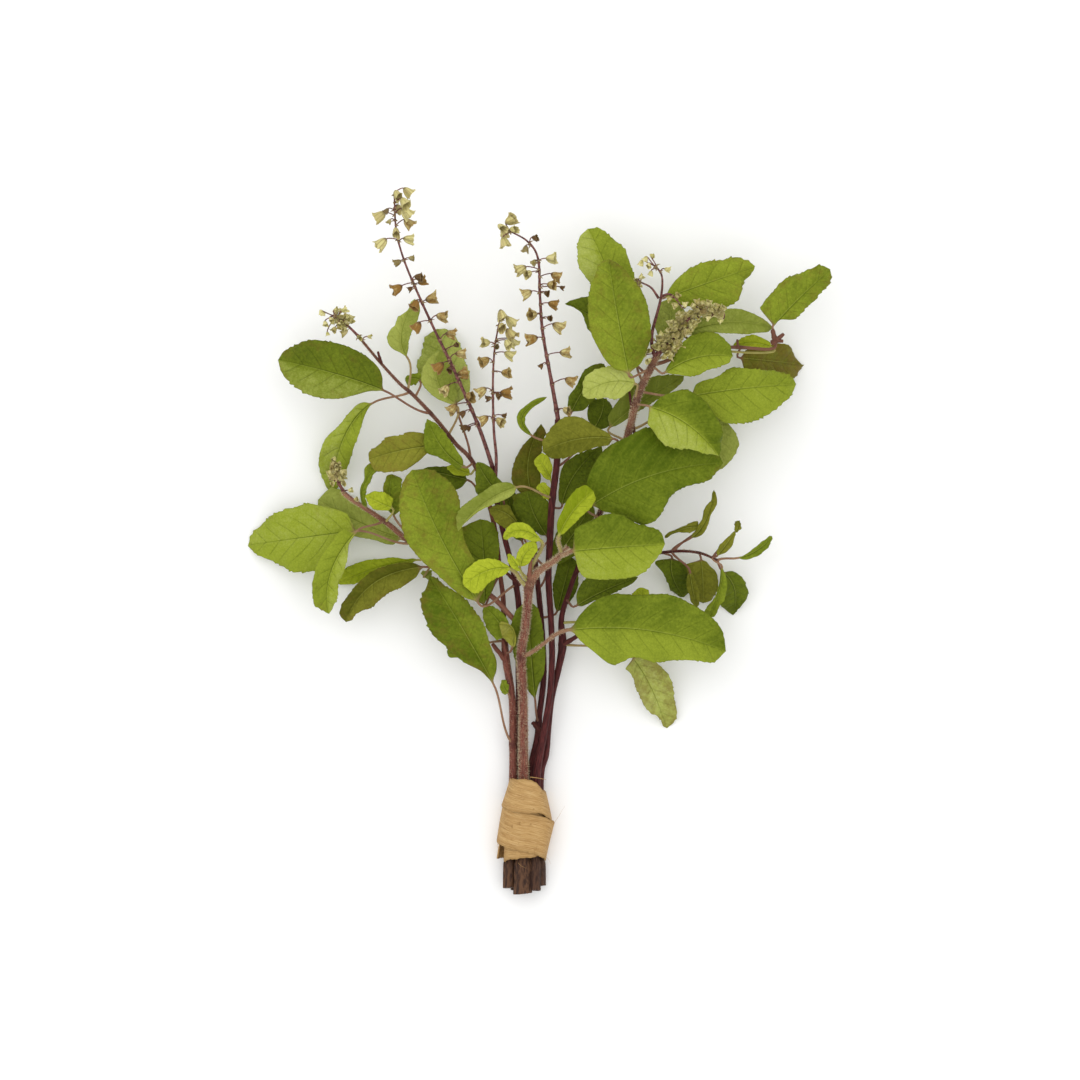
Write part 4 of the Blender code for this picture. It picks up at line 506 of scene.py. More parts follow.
         (0.4, 0.9, 1.4, 1.7, 1.8, 1.7, 1.6, 1.4), 0, 8, "leaf_green"),
    Leaf("small_leaf_fold_olive", "twig_left", (-30, 88), (-33.5, 81.6, 12), (-32.2, 82.9, 12),
         (-30.9, 83.6, 11), (1.9, 1.9, 1.7, 1.2, 0.9, 0.7, 0.3, 0.3),
         (1.9, 2, 2, 2, 1.9, 1.2, 0.3, 0.3), 0, 10, "leaf_pale"),
    Leaf("small_leaf_behind_front", "stem_back", (4.6, 78), (9, 86, 9), (16, 95.4, 9.6),
         (23, 106, 9), (1.6, 3.2, 4.3, 5, 5.2, 4.6, 3.4, 1.8),
         (1.8, 3.4, 4.5, 5.2, 5.2, 4.5, 3.2, 1.6), 0, 8, "leaf_dark"),
    Leaf("small_leaf_centre_under", "stem_back", (4, 84), (-0.6, 93.4, 8.6), (-4, 103, 9.4),
         (-6.2, 113, 9), (1.2, 2.4, 3.2, 3.8, 3.8, 3.4, 2.6, 1.4),
         (1.3, 2.6, 3.4, 4, 4, 3.5, 2.6, 1.4), 0, 8, "leaf_dark"),
    Leaf("small_leaf_middle_curled", "stem_middle_spike", (11, 126), (2.7, 128.7, 24),
         (-0.7, 135.3, 26), (7.7, 141.6, 25), (0.5, 0.9, 1.2, 1.4, 1.4, 1.3, 1.1, 0.6),
         (0.5, 0.9, 1.1, 1.3, 1.3, 1.2, 1, 0.6), 0, 12, "leaf_green"),
)


# Meshes


def smooth_route(points, step):
    """A Catmull-Rom curve through rows of numbers, with a point about every step millimetres:
    between two rows b and c, with a before and d after them, it is half of
    2b + (c - a) t + (2a - 5b + 4c - d) t^2 + (3b - 3c + d - a) t^3."""
    rows = np.array(points, float)
    rows = np.vstack([2 * rows[0] - rows[1], rows, 2 * rows[-1] - rows[-2]])
    runs = []
    for a, b, c, d in zip(rows, rows[1:], rows[2:], rows[3:]):
        count = max(2, round(np.linalg.norm((c - b)[:3]) / step))
        t = np.arange(count)[:, None] / count
        runs.append(
            0.5 * (2 * b + (c - a) * t + (2 * a - 5 * b + 4 * c - d) * t**2)
            + 0.5 * (3 * b - 3 * c + d - a) * t**3
        )
    return np.vstack([*runs, rows[-2]])


def bezier(t, *points):
    """The Bezier curve with the given control points: neighbours are blended by t until one
    point is left."""
    t = t[:, None]
    blended = [np.repeat(np.array([p], float), len(t), 0) for p in points]
    while len(blended) > 1:
        blended = [a + (b - a) * t for a, b in zip(blended, blended[1:])]
    return blended[0]


def unit(vectors):
    """Vectors divided by their lengths."""
    return vectors / np.maximum(np.linalg.norm(vectors, axis=-1, keepdims=True), 1e-9)


def directions(path):
    """The direction of travel at each point of a path: the difference of its neighbours."""
    return unit(np.gradient(path, axis=0))


def distances(path):
    """Distance along a path from its first point."""
    return np.concatenate([[0], np.cumsum(np.linalg.norm(np.diff(path, axis=0), axis=1))])


def ease(low, high, x):
    """0 below low and 1 above high, with a smooth S between them: 3s^2 - 2s^3."""
    s = np.clip((x - low) / (high - low), 0, 1)
    return s * s * (3 - 2 * s)


def hump(x, middle, width):
    """A bell curve of height 1: e to the power of minus the square of (x - middle) / width."""
    return np.exp(-(((x - middle) / width) ** 2))


def skin(points, cell=(0, 0, 1, 1), **values):
    """A closed surface from a grid of points. Rows follow a path, and a row's points turn left
    round it, seen from the far end. Both ends are closed by a fan to their middle. values are
    numbers for each point, one or three of them. cell is its rectangle of the texture map."""
    rows, sides = points.shape[:2]
    i, j = np.meshgrid(np.arange(rows - 1), np.arange(sides), indexing="ij")
    corners = ((i, j), (i, j + 1), (i + 1, j + 1), (i + 1, j))
    quads = np.stack([a * sides + b % sides for a, b in corners], -1).reshape(-1, 4)
    along = distances(points.mean(1))
    along = 0.04 + 0.92 * along / max(along[-1], 1e-9)
    maps = np.stack([np.stack([along[a], b / sides], -1) for a, b in corners], -2)
    maps = maps.reshape(-1, 4, 2)
    ring = np.arange(sides)
    following = (ring + 1) % sides
    start, end = rows * sides, rows * sides + 1
    last = (rows - 1) * sides
    fans = np.vstack(
        [
            np.stack([following, ring, np.full(sides, start)], -1),
            np.stack([last + ring, last + following, np.full(sides, end)], -1),
        ]
    )
    fan_maps = []
    for share, first, second, middle in (
        (along[0], ring + 1, ring, 0.01),
        (along[-1], ring, ring + 1, 0.99),
    ):
        rim = [np.stack([np.full(sides, share), turn / sides], -1) for turn in (first, second)]
        fan_maps.append(np.stack([*rim, np.full((sides, 2), (middle, 0.5))], 1))
    corner, size = np.array(cell[:2]), np.array(cell[2:])
    filled = {}
    for name, value in values.items():
        value = np.broadcast_to(np.asarray(value, float), (rows, sides, 3))
        ends = np.stack([value[0].mean(0), value[-1].mean(0)])
        filled[name] = np.vstack([value.reshape(-1, 3), ends])
    return {
        "points": np.vstack([points.reshape(-1, 3), points[0].mean(0), points[-1].mean(0)]),
        "quads": quads,
        "fans": fans,
        "quad_map": corner + maps * size,
        "fan_map": corner + np.vstack(fan_maps) * size,
        "values": filled,
    }


def make_piece(name, skins, material, replaces=None):
    """One mesh from several closed surfaces, with its texture map and its values as attributes.
    It rides on the bunch's only body."""
    offsets = np.cumsum([0] + [len(s["points"]) for s in skins])
    points = np.vstack([s["points"] for s in skins]) * MM
    quads = np.vstack([s["quads"] + o for s, o in zip(skins, offsets)])
    fans = np.vstack([s["fans"] + o for s, o in zip(skins, offsets)])
    maps = np.vstack(
        [s["quad_map"].reshape(-1, 2) for s in skins] + [s["fan_map"].reshape(-1, 2) for s in skins]
    )
    loops = np.concatenate([quads.ravel(), fans.ravel()]).astype(np.int32)
    totals = np.concatenate([np.full(len(quads), 4), np.full(len(fans), 3)]).astype(np.int32)
    starts = np.concatenate([[0], np.cumsum(totals)[:-1]]).astype(np.int32)
    mesh = bpy.data.meshes.new(name)
    mesh.vertices.add(len(points))
    mesh.vertices.foreach_set("co", points.astype(np.float32).ravel())
    mesh.loops.add(len(loops))
    mesh.loops.foreach_set("vertex_index", loops)
    mesh.polygons.add(len(totals))
    mesh.polygons.foreach_set("loop_start", starts)
    mesh.update(calc_edges=True)
    mesh.polygons.foreach_set("use_smooth", np.ones(len(totals), bool))
    mesh.uv_layers.new(name="surface").data.foreach_set("uv", maps.astype(np.float32).ravel())
    for value in skins[0]["values"]:
        numbers = np.vstack([s["values"][value] for s in skins]).astype(np.float32)
        attribute = mesh.attributes.new(value, "FLOAT_VECTOR", "POINT")
        attribute.data.foreach_set("vector", numbers.ravel())
    mesh.validate()
    mesh.set_sharp_from_angle(angle=math.radians(70))
    mesh.materials.append(material)
    piece = bpy.data.objects.new(name, mesh)
    bpy.context.scene.collection.objects.link(piece)
    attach(piece, "root")
    if replaces:
        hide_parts(replaces)


# Materials


def linear(colour):
    """Linear red, green, blue and alpha of an sRGB colour like #7f9a30."""
    parts = [int(colour[i : i + 2], 16) / 255 for i in (1, 3, 5)]
    parts = [p / 12.92 if p <= 0.04045 else ((p + 0.055) / 1.055) ** 2.4 for p in parts]
    return (*parts, 1)


def add(material, kind, sockets, out=0, **settings):
    """Adds a node to a material and gives one of its outputs. sockets holds a value, a colour
    like #7f9a30 or an output to link for each socket's name or number, and settings are the
    node's own properties."""
    tree = material.node_tree
    made = tree.nodes.new("ShaderNode" + kind)
    for name, value in settings.items():
        setattr(made, name, value)
    for name, value in sockets.items():
        if isinstance(value, bpy.types.NodeSocket):
            tree.links.new(value, made.inputs[name])
        else:
            made.inputs[name].default_value = linear(value) if isinstance(value, str) else value
    return made.outputs[out]


def new_material(name, **sockets):
    """An empty material with a Principled shader, whose uniform values are set here."""
    material = bpy.data.materials.new(name)
    material.use_nodes = True
    shader = material.node_tree.nodes["Principled BSDF"]
    for socket, value in sockets.items():
        shader.inputs[socket.replace("_", " ")].default_value = value
    return material, shader


def feed(material, shader, **outputs):
    """Links outputs to the sockets of a material's shader, and gives the material."""
    for socket, output in outputs.items():
        material.node_tree.links.new(output, shader.inputs[socket.replace("_", " ")])
    return material


TIMES = {"operation": "MULTIPLY"}
TIMES_PLUS = {"operation": "MULTIPLY_ADD"}
SMOOTH = {"interpolation_type": "SMOOTHSTEP"}
COLOURS = {"data_type": "RGBA"}

# Fresh basil leaves: a soft, finely hairy skin with sunken veins, so the gloss is low and broad.
# Each finish has its darkest, its lightest and its palest green, then how dark its veins are, with
# the painted shadow along them, and its petiole's two colours.
LEAF_GREENS = {
    "leaf_green": ("#495a06", "#909d2e", "#b4bb68", 0.26, "#6b3d2f", "#ab8d6e"),
    "leaf_dark": ("#2f3d03", "#717e1e", "#a6ae58", 0.26, "#5d3129", "#93705a"),
    "leaf_olive": ("#4b4e0a", "#88882e", "#a8a55f", 0.22, "#5d3129", "#93705a"),
    "leaf_pale": ("#6f7a28", "#a9b156", "#c4ca86", 0.24, "#7c5a3c", "#b0a06c"),
    "leaf_bright": ("#77860e", "#bcc638", "#d6da80", 0.5, "#86803c", "#b9b06e"),
}


def leaf_skin(name, darkest, lightest, palest, vein_share, stalk_dark, stalk_light):
    """Fresh basil leaf. The attribute vein holds the number of the side vein, the distance from
    the midrib and the distance along it in mm. tint holds tone, brown share and petiole share.
    place holds how near the edge is, 1 on the upper side, and the share of the length."""
    m, shader = new_material(
        name, IOR=1.32, Specular_IOR_Level=0.15, Sheen_Weight=0.015, Sheen_Roughness=0.4
    )
    vein = add(m, "Attribute", {}, "Vector", attribute_name="vein")
    tint = add(m, "Attribute", {}, "Vector", attribute_name="tint")
    place = add(m, "Attribute", {}, "Vector", attribute_name="place")
    number, across, along = add(m, "SeparateXYZ", {0: vein}).node.outputs
    tone, brown, petiole = add(m, "SeparateXYZ", {0: tint}).node.outputs
    edge, upper, share = add(m, "SeparateXYZ", {0: place}).node.outputs
    where = add(m, "TexCoord", {}, "Object")
    flat = add(m, "CombineXYZ", {0: across, 1: along})

    # Clouds of lighter tissue, and a fine mottling.
    broad = add(m, "TexNoise", {"Vector": where, "Scale": 1 / (12 * MM), "Detail": 3.0})
    fine = add(
        m, "TexNoise", {"Vector": where, "Scale": 1 / (1.1 * MM), "Detail": 3.0, "Roughness": 0.6}
    )
    mottled = add(m, "Math", {0: fine, 1: 0.5}, **TIMES)
    mixed = add(m, "Math", {0: broad, 1: 0.5, 2: mottled}, **TIMES_PLUS)
    # tone lightens or darkens the green, and through it the painted light and shade of a leaf's
    # halves.
    mixed = add(m, "Math", {0: tone, 1: 0.45, 2: mixed}, **TIMES_PLUS)
    lightness = add(m, "MapRange", {0: mixed, 1: 0.1, 2: 0.9}, **SMOOTH)
    green = add(m, "Mix", {0: lightness, 6: darkest, 7: lightest}, 2, **COLOURS)
    paleness = add(m, "MapRange", {0: mixed, 1: 0.75, 2: 1.4}, **SMOOTH)
    green = add(m, "Mix", {0: paleness, 6: green, 7: palest}, 2, **COLOURS)

    # Side veins are thin darker lines, their own colour in the middle and a painted shadow of their
    # sunken course to either side, with a lighter band beside them, and end before the edge.
    # The midrib is a light line with painted shade beside it on one side, standing for the shadow
    # in its groove, and both fade towards the tip.
    from_vein = add(m, "Math", {0: number, 1: 0.5}, operation="PINGPONG")
    # line: the dark vein, widened by a painted shadow along it.
    line = add(m, "MapRange", {0: from_vein, 1: 0.01, 2: 0.06, 3: 1.0, 4: 0.0}, **SMOOTH)
    beside = add(m, "MapRange", {0: from_vein, 1: 0.04, 2: 0.3, 3: 1.0, 4: 0.0}, **SMOOTH)
    inside = add(m, "MapRange", {0: edge, 1: 0.5, 2: 0.92, 3: 1.0, 4: 0.0}, **SMOOTH)
    line = add(m, "Math", {0: line, 1: inside}, **TIMES)
    off_midrib = add(m, "Math", {0: across}, operation="ABSOLUTE")
    midrib = add(m, "MapRange", {0: off_midrib, 1: 0.06, 2: 0.2, 3: 1.0, 4: 0.0}, **SMOOTH)
    # Painted shade: a strip on one side of the midrib is darkened as if it lay in its groove's
    # shadow.
    shaded = add(m, "Math", {0: across, 1: 0.25}, operation="ADD")
    shaded = add(m, "Math", {0: shaded}, operation="ABSOLUTE")
    groove = add(m, "MapRange", {0: shaded, 1: 0.05, 2: 0.25, 3: 0.75, 4: 0.0}, **SMOOTH)
    fading = add(m, "MapRange", {0: share, 1: 0.4, 2: 0.95, 3: 1.0, 4: 0.25})
    groove = add(m, "Math", {0: groove, 1: fading}, **TIMES)

    # The net of finest veins, a mesh of about 1 mm.
    wobble = add(m, "TexNoise", {"Vector": flat, "Scale": 0.8}, "Color")
    bent = add(
        m, "VectorMath", {0: wobble, 1: (0.5, 0.5, 0), 2: flat}, operation="MULTIPLY_ADD"
    )
    net = add(
        m,
        "TexVoronoi",
        {"Vector": bent, "Scale": 1.0},
        "Distance",
        feature="DISTANCE_TO_EDGE",
        voronoi_dimensions="2D",
    )
    thread = add(m, "MapRange", {0: net, 1: 0.02, 2: 0.16, 3: 0.16, 4: 0.0}, **SMOOTH)

    band = add(m, "Math", {0: beside, 1: 0.12}, **TIMES)
    line_share = add(m, "Math", {0: line, 1: vein_share}, **TIMES)

    # Dry and purplish tissue shows in small clouds, and along the edge and the tip.
    blotch = add(
        m, "TexNoise", {"Vector": where, "Scale": 1 / (3.5 * MM), "Detail": 4.0, "Roughness": 0.7}
    )
    near_tip = add(m, "MapRange", {0: share, 1: 0.75, 2: 1.0, 3: 0.0, 4: 0.1}, **SMOOTH)
    reach = add(m, "Math", {0: edge, 1: 0.16, 2: blotch}, **TIMES_PLUS)
    reach = add(m, "Math", {0: reach, 1: near_tip}, operation="ADD")
    reach = add(m, "Math", {0: brown, 1: 0.7, 2: reach}, **TIMES_PLUS)
    dry = add(m, "MapRange", {0: reach, 1: 0.72, 2: 1.15, 3: 0.0, 4: 0.6}, **SMOOTH)
    rim = add(m, "MapRange", {0: edge, 1: 0.95, 2: 1.0, 3: 0.0, 4: 0.25}, **SMOOTH)

    # The underside is paler and greyer, and its midrib stands out light.
    lower = add(m, "Math", {0: upper, 1: -1.0, 2: 1.0}, **TIMES_PLUS)
    greyer = add(m, "Math", {0: lower, 1: 0.5}, **TIMES)
    light_line = add(m, "Math", {0: lower, 1: 0.45, 2: 0.3}, **TIMES_PLUS)
    light_line = add(m, "Math", {0: light_line, 1: midrib}, **TIMES)
    light_line = add(m, "Math", {0: light_line, 1: fading}, **TIMES)
    patch = add(m, "TexNoise", {"Vector": where, "Scale": 1 / (3 * MM), "Detail": 2.0})
    stalk = add(m, "Mix", {0: patch, 6: stalk_dark, 7: stalk_light}, 2, **COLOURS)

    # The layers of colour, from the lowest to the uppermost.
    tissue = green
    for amount, over in (
        (band, lightest),
        (thread, darkest),
        (line_share, darkest),
        (groove, darkest),
        (dry, "#6b5322"),
        (rim, "#57541f"),
        (greyer, "#a2a86c"),
        (light_line, "#a9ad55"),
        (petiole, stalk),
    ):
        tissue = add(m, "Mix", {0: amount, 6: tissue, 7: over}, 2, **COLOURS)

    gloss = add(m, "Math", {0: fine, 1: 0.2, 2: 0.5}, **TIMES_PLUS)
    cushion = add(m, "MapRange", {0: net, 1: 0.0, 2: 0.4, 3: 0.0, 4: 0.35}, **SMOOTH)
    relief = add(m, "Math", {0: line, 1: -0.5, 2: cushion}, **TIMES_PLUS)
    relief = add(m, "Math", {0: fine, 1: 0.3, 2: relief}, **TIMES_PLUS)
    bump = add(m, "Bump", {"Distance": 0.2 * MM, "Height": relief})
    return feed(m, shader, Base_Color=tissue, Roughness=gloss, Normal=bump)


def stem_skin(name, dark, light, bark):
    """Fresh basil stem: a thin ribbed skin, dark purple to pinkish brown, under short pale
    hairs. The attribute grain holds the angle round the stem, the distance along it in mm and
    how near a node is. shade holds the shares of hair, of pale young tissue and of old bark."""
    m, shader = new_material(name, IOR=1.4, Specular_IOR_Level=0.25)
    grain = add(m, "Attribute", {}, "Vector", attribute_name="grain")
    shade = add(m, "Attribute", {}, "Vector", attribute_name="shade")
    round_it, along, node = add(m, "SeparateXYZ", {0: grain}).node.outputs
    hair, young, old = add(m, "SeparateXYZ", {0: shade}).node.outputs
    where = add(m, "TexCoord", {}, "Object")
    sine = add(m, "Math", {0: round_it}, operation="SINE")
    cosine = add(m, "Math", {0: round_it}, operation="COSINE")
    drawn_out = add(m, "Math", {0: along, 1: 0.09}, **TIMES)
    lengthwise = add(m, "CombineXYZ", {0: sine, 1: cosine, 2: drawn_out})
    streak = add(
        m, "TexNoise", {"Vector": lengthwise, "Scale": 3.4, "Detail": 4.0, "Roughness": 0.6}
    )
    spot = add(
        m, "TexNoise", {"Vector": where, "Scale": 1 / (1.4 * MM), "Detail": 3.0, "Roughness": 0.6}
    )
    streaked = add(m, "MapRange", {0: streak, 1: 0.34, 2: 0.68}, **SMOOTH)
    colour = add(m, "Mix", {0: streaked, 6: dark, 7: light}, 2, **COLOURS)
    spotted = add(m, "Math", {0: spot, 1: 0.3}, **TIMES)
    fresh = add(m, "Math", {0: young, 1: 0.55}, **TIMES)
    ribbed = add(m, "MapRange", {0: streak, 1: 0.4, 2: 0.62}, **SMOOTH)
    barky = add(m, "Mix", {0: ribbed, 6: "#33211a", 7: bark}, 2, **COLOURS)
    ringed = add(m, "Math", {0: node, 1: 0.55}, **TIMES)
    for amount, over in (
        (spotted, light),
        (fresh, "#a3785c"),
        (old, barky),
        (ringed, "#3a1d1c"),
        (hair, "#c9b596"),
    ):
        colour = add(m, "Mix", {0: amount, 6: colour, 7: over}, 2, **COLOURS)
    gloss = add(m, "Math", {0: spot, 1: 0.2, 2: 0.5}, **TIMES_PLUS)
    relief = add(m, "Math", {0: spot, 1: 0.3, 2: streak}, **TIMES_PLUS)
    bump = add(m, "Bump", {"Distance": 0.3 * MM, "Height": relief})
    return feed(m, shader, Base_Color=colour, Roughness=gloss, Normal=bump)


def calyx_skin():
    """Dried basil calyx: thin papery tissue with lengthwise ribs, straw at the top of a spike,
    yellow-brown lower down and dark where it has shrivelled. flower holds ripeness, the share
    from neck to mouth, and the angle round it. kind holds the shares of axis, of the shaded
    inside and of young green tissue."""
    m, shader = new_material("papery_dry_calyx", IOR=1.4, Roughness=0.7)
    flower = add(m, "Attribute", {}, "Vector", attribute_name="flower")
    kind = add(m, "Attribute", {}, "Vector", attribute_name="kind")
    ripe, share, round_it = add(m, "SeparateXYZ", {0: flower}).node.outputs
    axis, inside, green = add(m, "SeparateXYZ", {0: kind}).node.outputs
    where = add(m, "TexCoord", {}, "Object")
    patch = add(
        m, "TexNoise", {"Vector": where, "Scale": 1 / (1.2 * MM), "Detail": 3.0, "Roughness": 0.7}
    )
    ripeness = add(m, "Math", {0: patch, 1: 1.1, 2: ripe}, **TIMES_PLUS)
    ripened = add(m, "MapRange", {0: ripeness, 1: 0.5, 2: 1.1}, **SMOOTH)
    colour = add(m, "Mix", {0: ripened, 6: "#d6cd8c", 7: "#8d672a"}, 2, **COLOURS)
    shrivelled = add(m, "MapRange", {0: ripeness, 1: 1.15, 2: 1.75, 3: 0.0, 4: 0.85}, **SMOOTH)
    ribs = add(m, "Math", {0: round_it, 1: 8.0}, **TIMES)
    ribs = add(m, "Math", {0: ribs}, operation="SINE")
    rib = add(m, "MapRange", {0: ribs, 1: 0.1, 2: 1.0, 3: 0.0, 4: 0.5}, **SMOOTH)
    neck = add(m, "MapRange", {0: share, 1: 0.0, 2: 0.3, 3: 0.85, 4: 0.0}, **SMOOTH)
    mouth = add(m, "MapRange", {0: share, 1: 0.85, 2: 1.0, 3: 0.0, 4: 0.2}, **SMOOTH)
    mixed = add(m, "MapRange", {0: patch, 1: 0.35, 2: 0.65}, **SMOOTH)
    fresh = add(m, "Mix", {0: mixed, 6: "#aaa34c", 7: "#e8e0a4"}, 2, **COLOURS)
    wood = add(m, "Mix", {0: mixed, 6: "#4a2421", 7: "#80504a"}, 2, **COLOURS)
    for amount, over in (
        (shrivelled, "#41281a"),
        (rib, "#75591f"),
        (neck, "#4e2a1e"),
        (mouth, "#dccb96"),
        (green, fresh),
        (axis, wood),
        (inside, "#5c4222"),
    ):
        colour = add(m, "Mix", {0: amount, 6: colour, 7: over}, 2, **COLOURS)
    relief = add(m, "Math", {0: patch, 1: 0.6, 2: rib}, **TIMES_PLUS)
    bump = add(m, "Bump", {"Distance": 0.15 * MM, "Height": relief})
    return feed(m, shader, Base_Color=colour, Normal=bump)


def fibre_skin():
    """Dried strip of leaf fibre: tan, dull, split into parallel fibres along the strip, with
    darker stains. strip holds the distance along and across it in mm, and how near its edge is."""
    m, shader = new_material("dried_leaf_fibre", IOR=1.42, Roughness=0.78)
    strip = add(m, "Attribute", {}, "Vector", attribute_name="strip")
    along, across, edge = add(m, "SeparateXYZ", {0: strip}).node.outputs
    where = add(m, "TexCoord", {}, "Object")
    drawn_out = add(m, "Math", {0: along, 1: 0.05}, **TIMES)
    lengthwise = add(m, "CombineXYZ", {0: drawn_out, 1: across})
    fibre = add(
        m, "TexNoise", {"Vector": lengthwise, "Scale": 4.5, "Detail": 4.0, "Roughness": 0.75}
    )
    coarse = add(
        m, "TexNoise", {"Vector": lengthwise, "Scale": 0.8, "Detail": 3.0, "Roughness": 0.6}
    )
    stain = add(
        m, "TexNoise", {"Vector": where, "Scale": 1 / (2.2 * MM), "Detail": 4.0, "Roughness": 0.7}
    )
    bands = add(m, "MapRange", {0: coarse, 1: 0.3, 2: 0.7}, **SMOOTH)
    colour = add(m, "Mix", {0: bands, 6: "#ab824b", 7: "#bf9960"}, 2, **COLOURS)
    pale = add(m, "MapRange", {0: fibre, 1: 0.45, 2: 0.7, 3: 0.0, 4: 0.6}, **SMOOTH)
    dark = add(m, "MapRange", {0: fibre, 1: 0.34, 2: 0.48, 3: 0.6, 4: 0.0}, **SMOOTH)
    stained = add(m, "MapRange", {0: stain, 1: 0.59, 2: 0.7, 3: 0.0, 4: 0.55}, **SMOOTH)
    edging = add(m, "Math", {0: edge, 1: 0.5}, **TIMES)
    for amount, over in (
        (pale, "#dcbd88"),
        (dark, "#7d5a2c"),
        (stained, "#7b5222"),
        (edging, "#80602f"),
    ):
        colour = add(m, "Mix", {0: amount, 6: colour, 7: over}, 2, **COLOURS)
    relief = add(m, "Math", {0: coarse, 1: 0.15, 2: fibre}, **TIMES_PLUS)
    bump = add(m, "Bump", {"Distance": 0.2 * MM, "Height": relief})
    return feed(m, shader, Base_Color=colour, Normal=bump)


SKINS = {name: leaf_skin("basil_" + name, *greens) for name, greens in LEAF_GREENS.items()}
SKINS["stem_purple"] = stem_skin("purple_basil_stem", "#2a0b0d", "#5f2a28", "#523829")
SKINS["stem_brown"] = stem_skin("hairy_basil_stem", "#52241f", "#8b5546", "#60432f")
SKINS["calyx"] = calyx_skin()
SKINS["dried_fibre"] = fibre_skin()


# Leaves

PETIOLE_REACH = 0.3  # how far the curve's inner points lie from its ends, as a share of its length
PETIOLE_RISE = 0.45  # how much of its first direction is straight out of the stem
ROWS_PER_MM = 2.5
BLADE_ROWS = (24, 140)  # the fewest and the most sections of a blade
STALK_ROWS_PER_MM = 0.8
STALK_ROWS = (6, 16)
STALK_FOOT = 0.3  # how much thicker a petiole is at its stem, as a share
TOOTH_SPACING = 2.6
TOOTH_HEIGHT = 0.52
VEIN_SPACING = 6.2
FEWEST_VEINS = 6
SWELL = 0.08  # height of the tissue between two side veins, as a share of their spacing
RIPPLE = 0.13  # height of the edge's slow waves, as a share of the half width
GROOVE_DEPTH = 0.25  # of the midrib, on the upper side
GROOVE_HALF_WIDTH = 0.4
SIDE_RIB_HEIGHT = 0.14  # of the side veins, on the lower side
LEAF_HALF_THICKNESS = 0.17
LEAF_EDGE_HALF_THICKNESS = 0.06
VEIN_SLOPE = 0.8  # a side vein gains this much along the midrib for each step across
VEIN_CURVE = 0.03  # and bends on towards the tip
LOWEST = 0.05  # leaves that touch the surface stay this far above it


def nearest_on_route(route, place):
    """The point of a route nearest to place seen from above, its radius and its direction."""
    index = np.argmin(np.linalg.norm(route[:, :2] - np.array(place), axis=1))
    return route[index, :3], route[index, 3], directions(route[:, :3])[index]


def half_width(widths, t):
    """The blade's half width along the midrib: a smooth curve through the widths at
    BLADE_STATIONS, and nothing at both ends."""
    stations = 100 * np.array([0, *BLADE_STATIONS, 1.0])
    rows = np.stack([stations, [0, *widths, 0], 0 * stations], -1)
    curve = smooth_route(rows, 1.0)
    return np.maximum(np.interp(100 * t, curve[:, 0], curve[:, 1]), 0)


def teeth(t, count, shift, heights):
    """Height of the edge's teeth along the blade, from 0 to 1: each rises slowly towards the
    tip of the leaf and falls quickly, and none stand near the base or on the very tip. A sine
    wave makes their spacing uneven."""
    phase = np.maximum((t - 0.16) / 0.82 * count + shift, 0)
    phase = phase + 0.22 * np.sin(2.4 * phase + 6 * shift)
    phase = np.maximum(phase, 0)
    rest = np.mod(phase, 1)
    tooth = np.minimum((rest / 0.74) ** 1.2, (1 - rest) / 0.26)
    return tooth * heights[phase.astype(int)] * ease(0.14, 0.3, t) * ease(1.0, 0.95, t)


def edge_swing(t, random):
    """A slow swing in and out along an edge: two sine waves with random lengths and starts."""
    slow, quick = 1.1 + 0.8 * random.random(), 2.6 + 1.2 * random.random()
    first, second = 2 * np.pi * random.random(2)
    swing = 0.6 * np.sin(2 * np.pi * slow * t + first)
    return swing + 0.4 * np.sin(2 * np.pi * quick * t + second)


def there_and_back(values):
    """A section's values over the upper side, and the same in reverse for the lower side."""
    return np.hstack([values, values[:, ::-1]])


def petiole(leaf, routes, count):
    """The petiole's middle line, a cubic Bezier curve from the middle of its stem to the base of
    the blade, which it meets in the blade's own direction."""
    base, middle, tip = (np.array(p, float) for p in (leaf.base, leaf.middle, leaf.tip))
    towards = unit(2 * middle - 1.5 * base - 0.5 * tip)
    start, radius, along_stem = nearest_on_route(routes[leaf.stem], leaf.joins)
    away = base - start
    outward = unit(away - away.dot(along_stem) * along_stem)
    skin_point = start + outward * radius
    reach = PETIOLE_REACH * np.linalg.norm(base - skin_point)
    leaving = unit(PETIOLE_RISE * outward + unit(away))
    t = np.linspace(0, 1, count)
    return bezier(t, start, skin_point + leaving * reach, base - towards * reach, base)


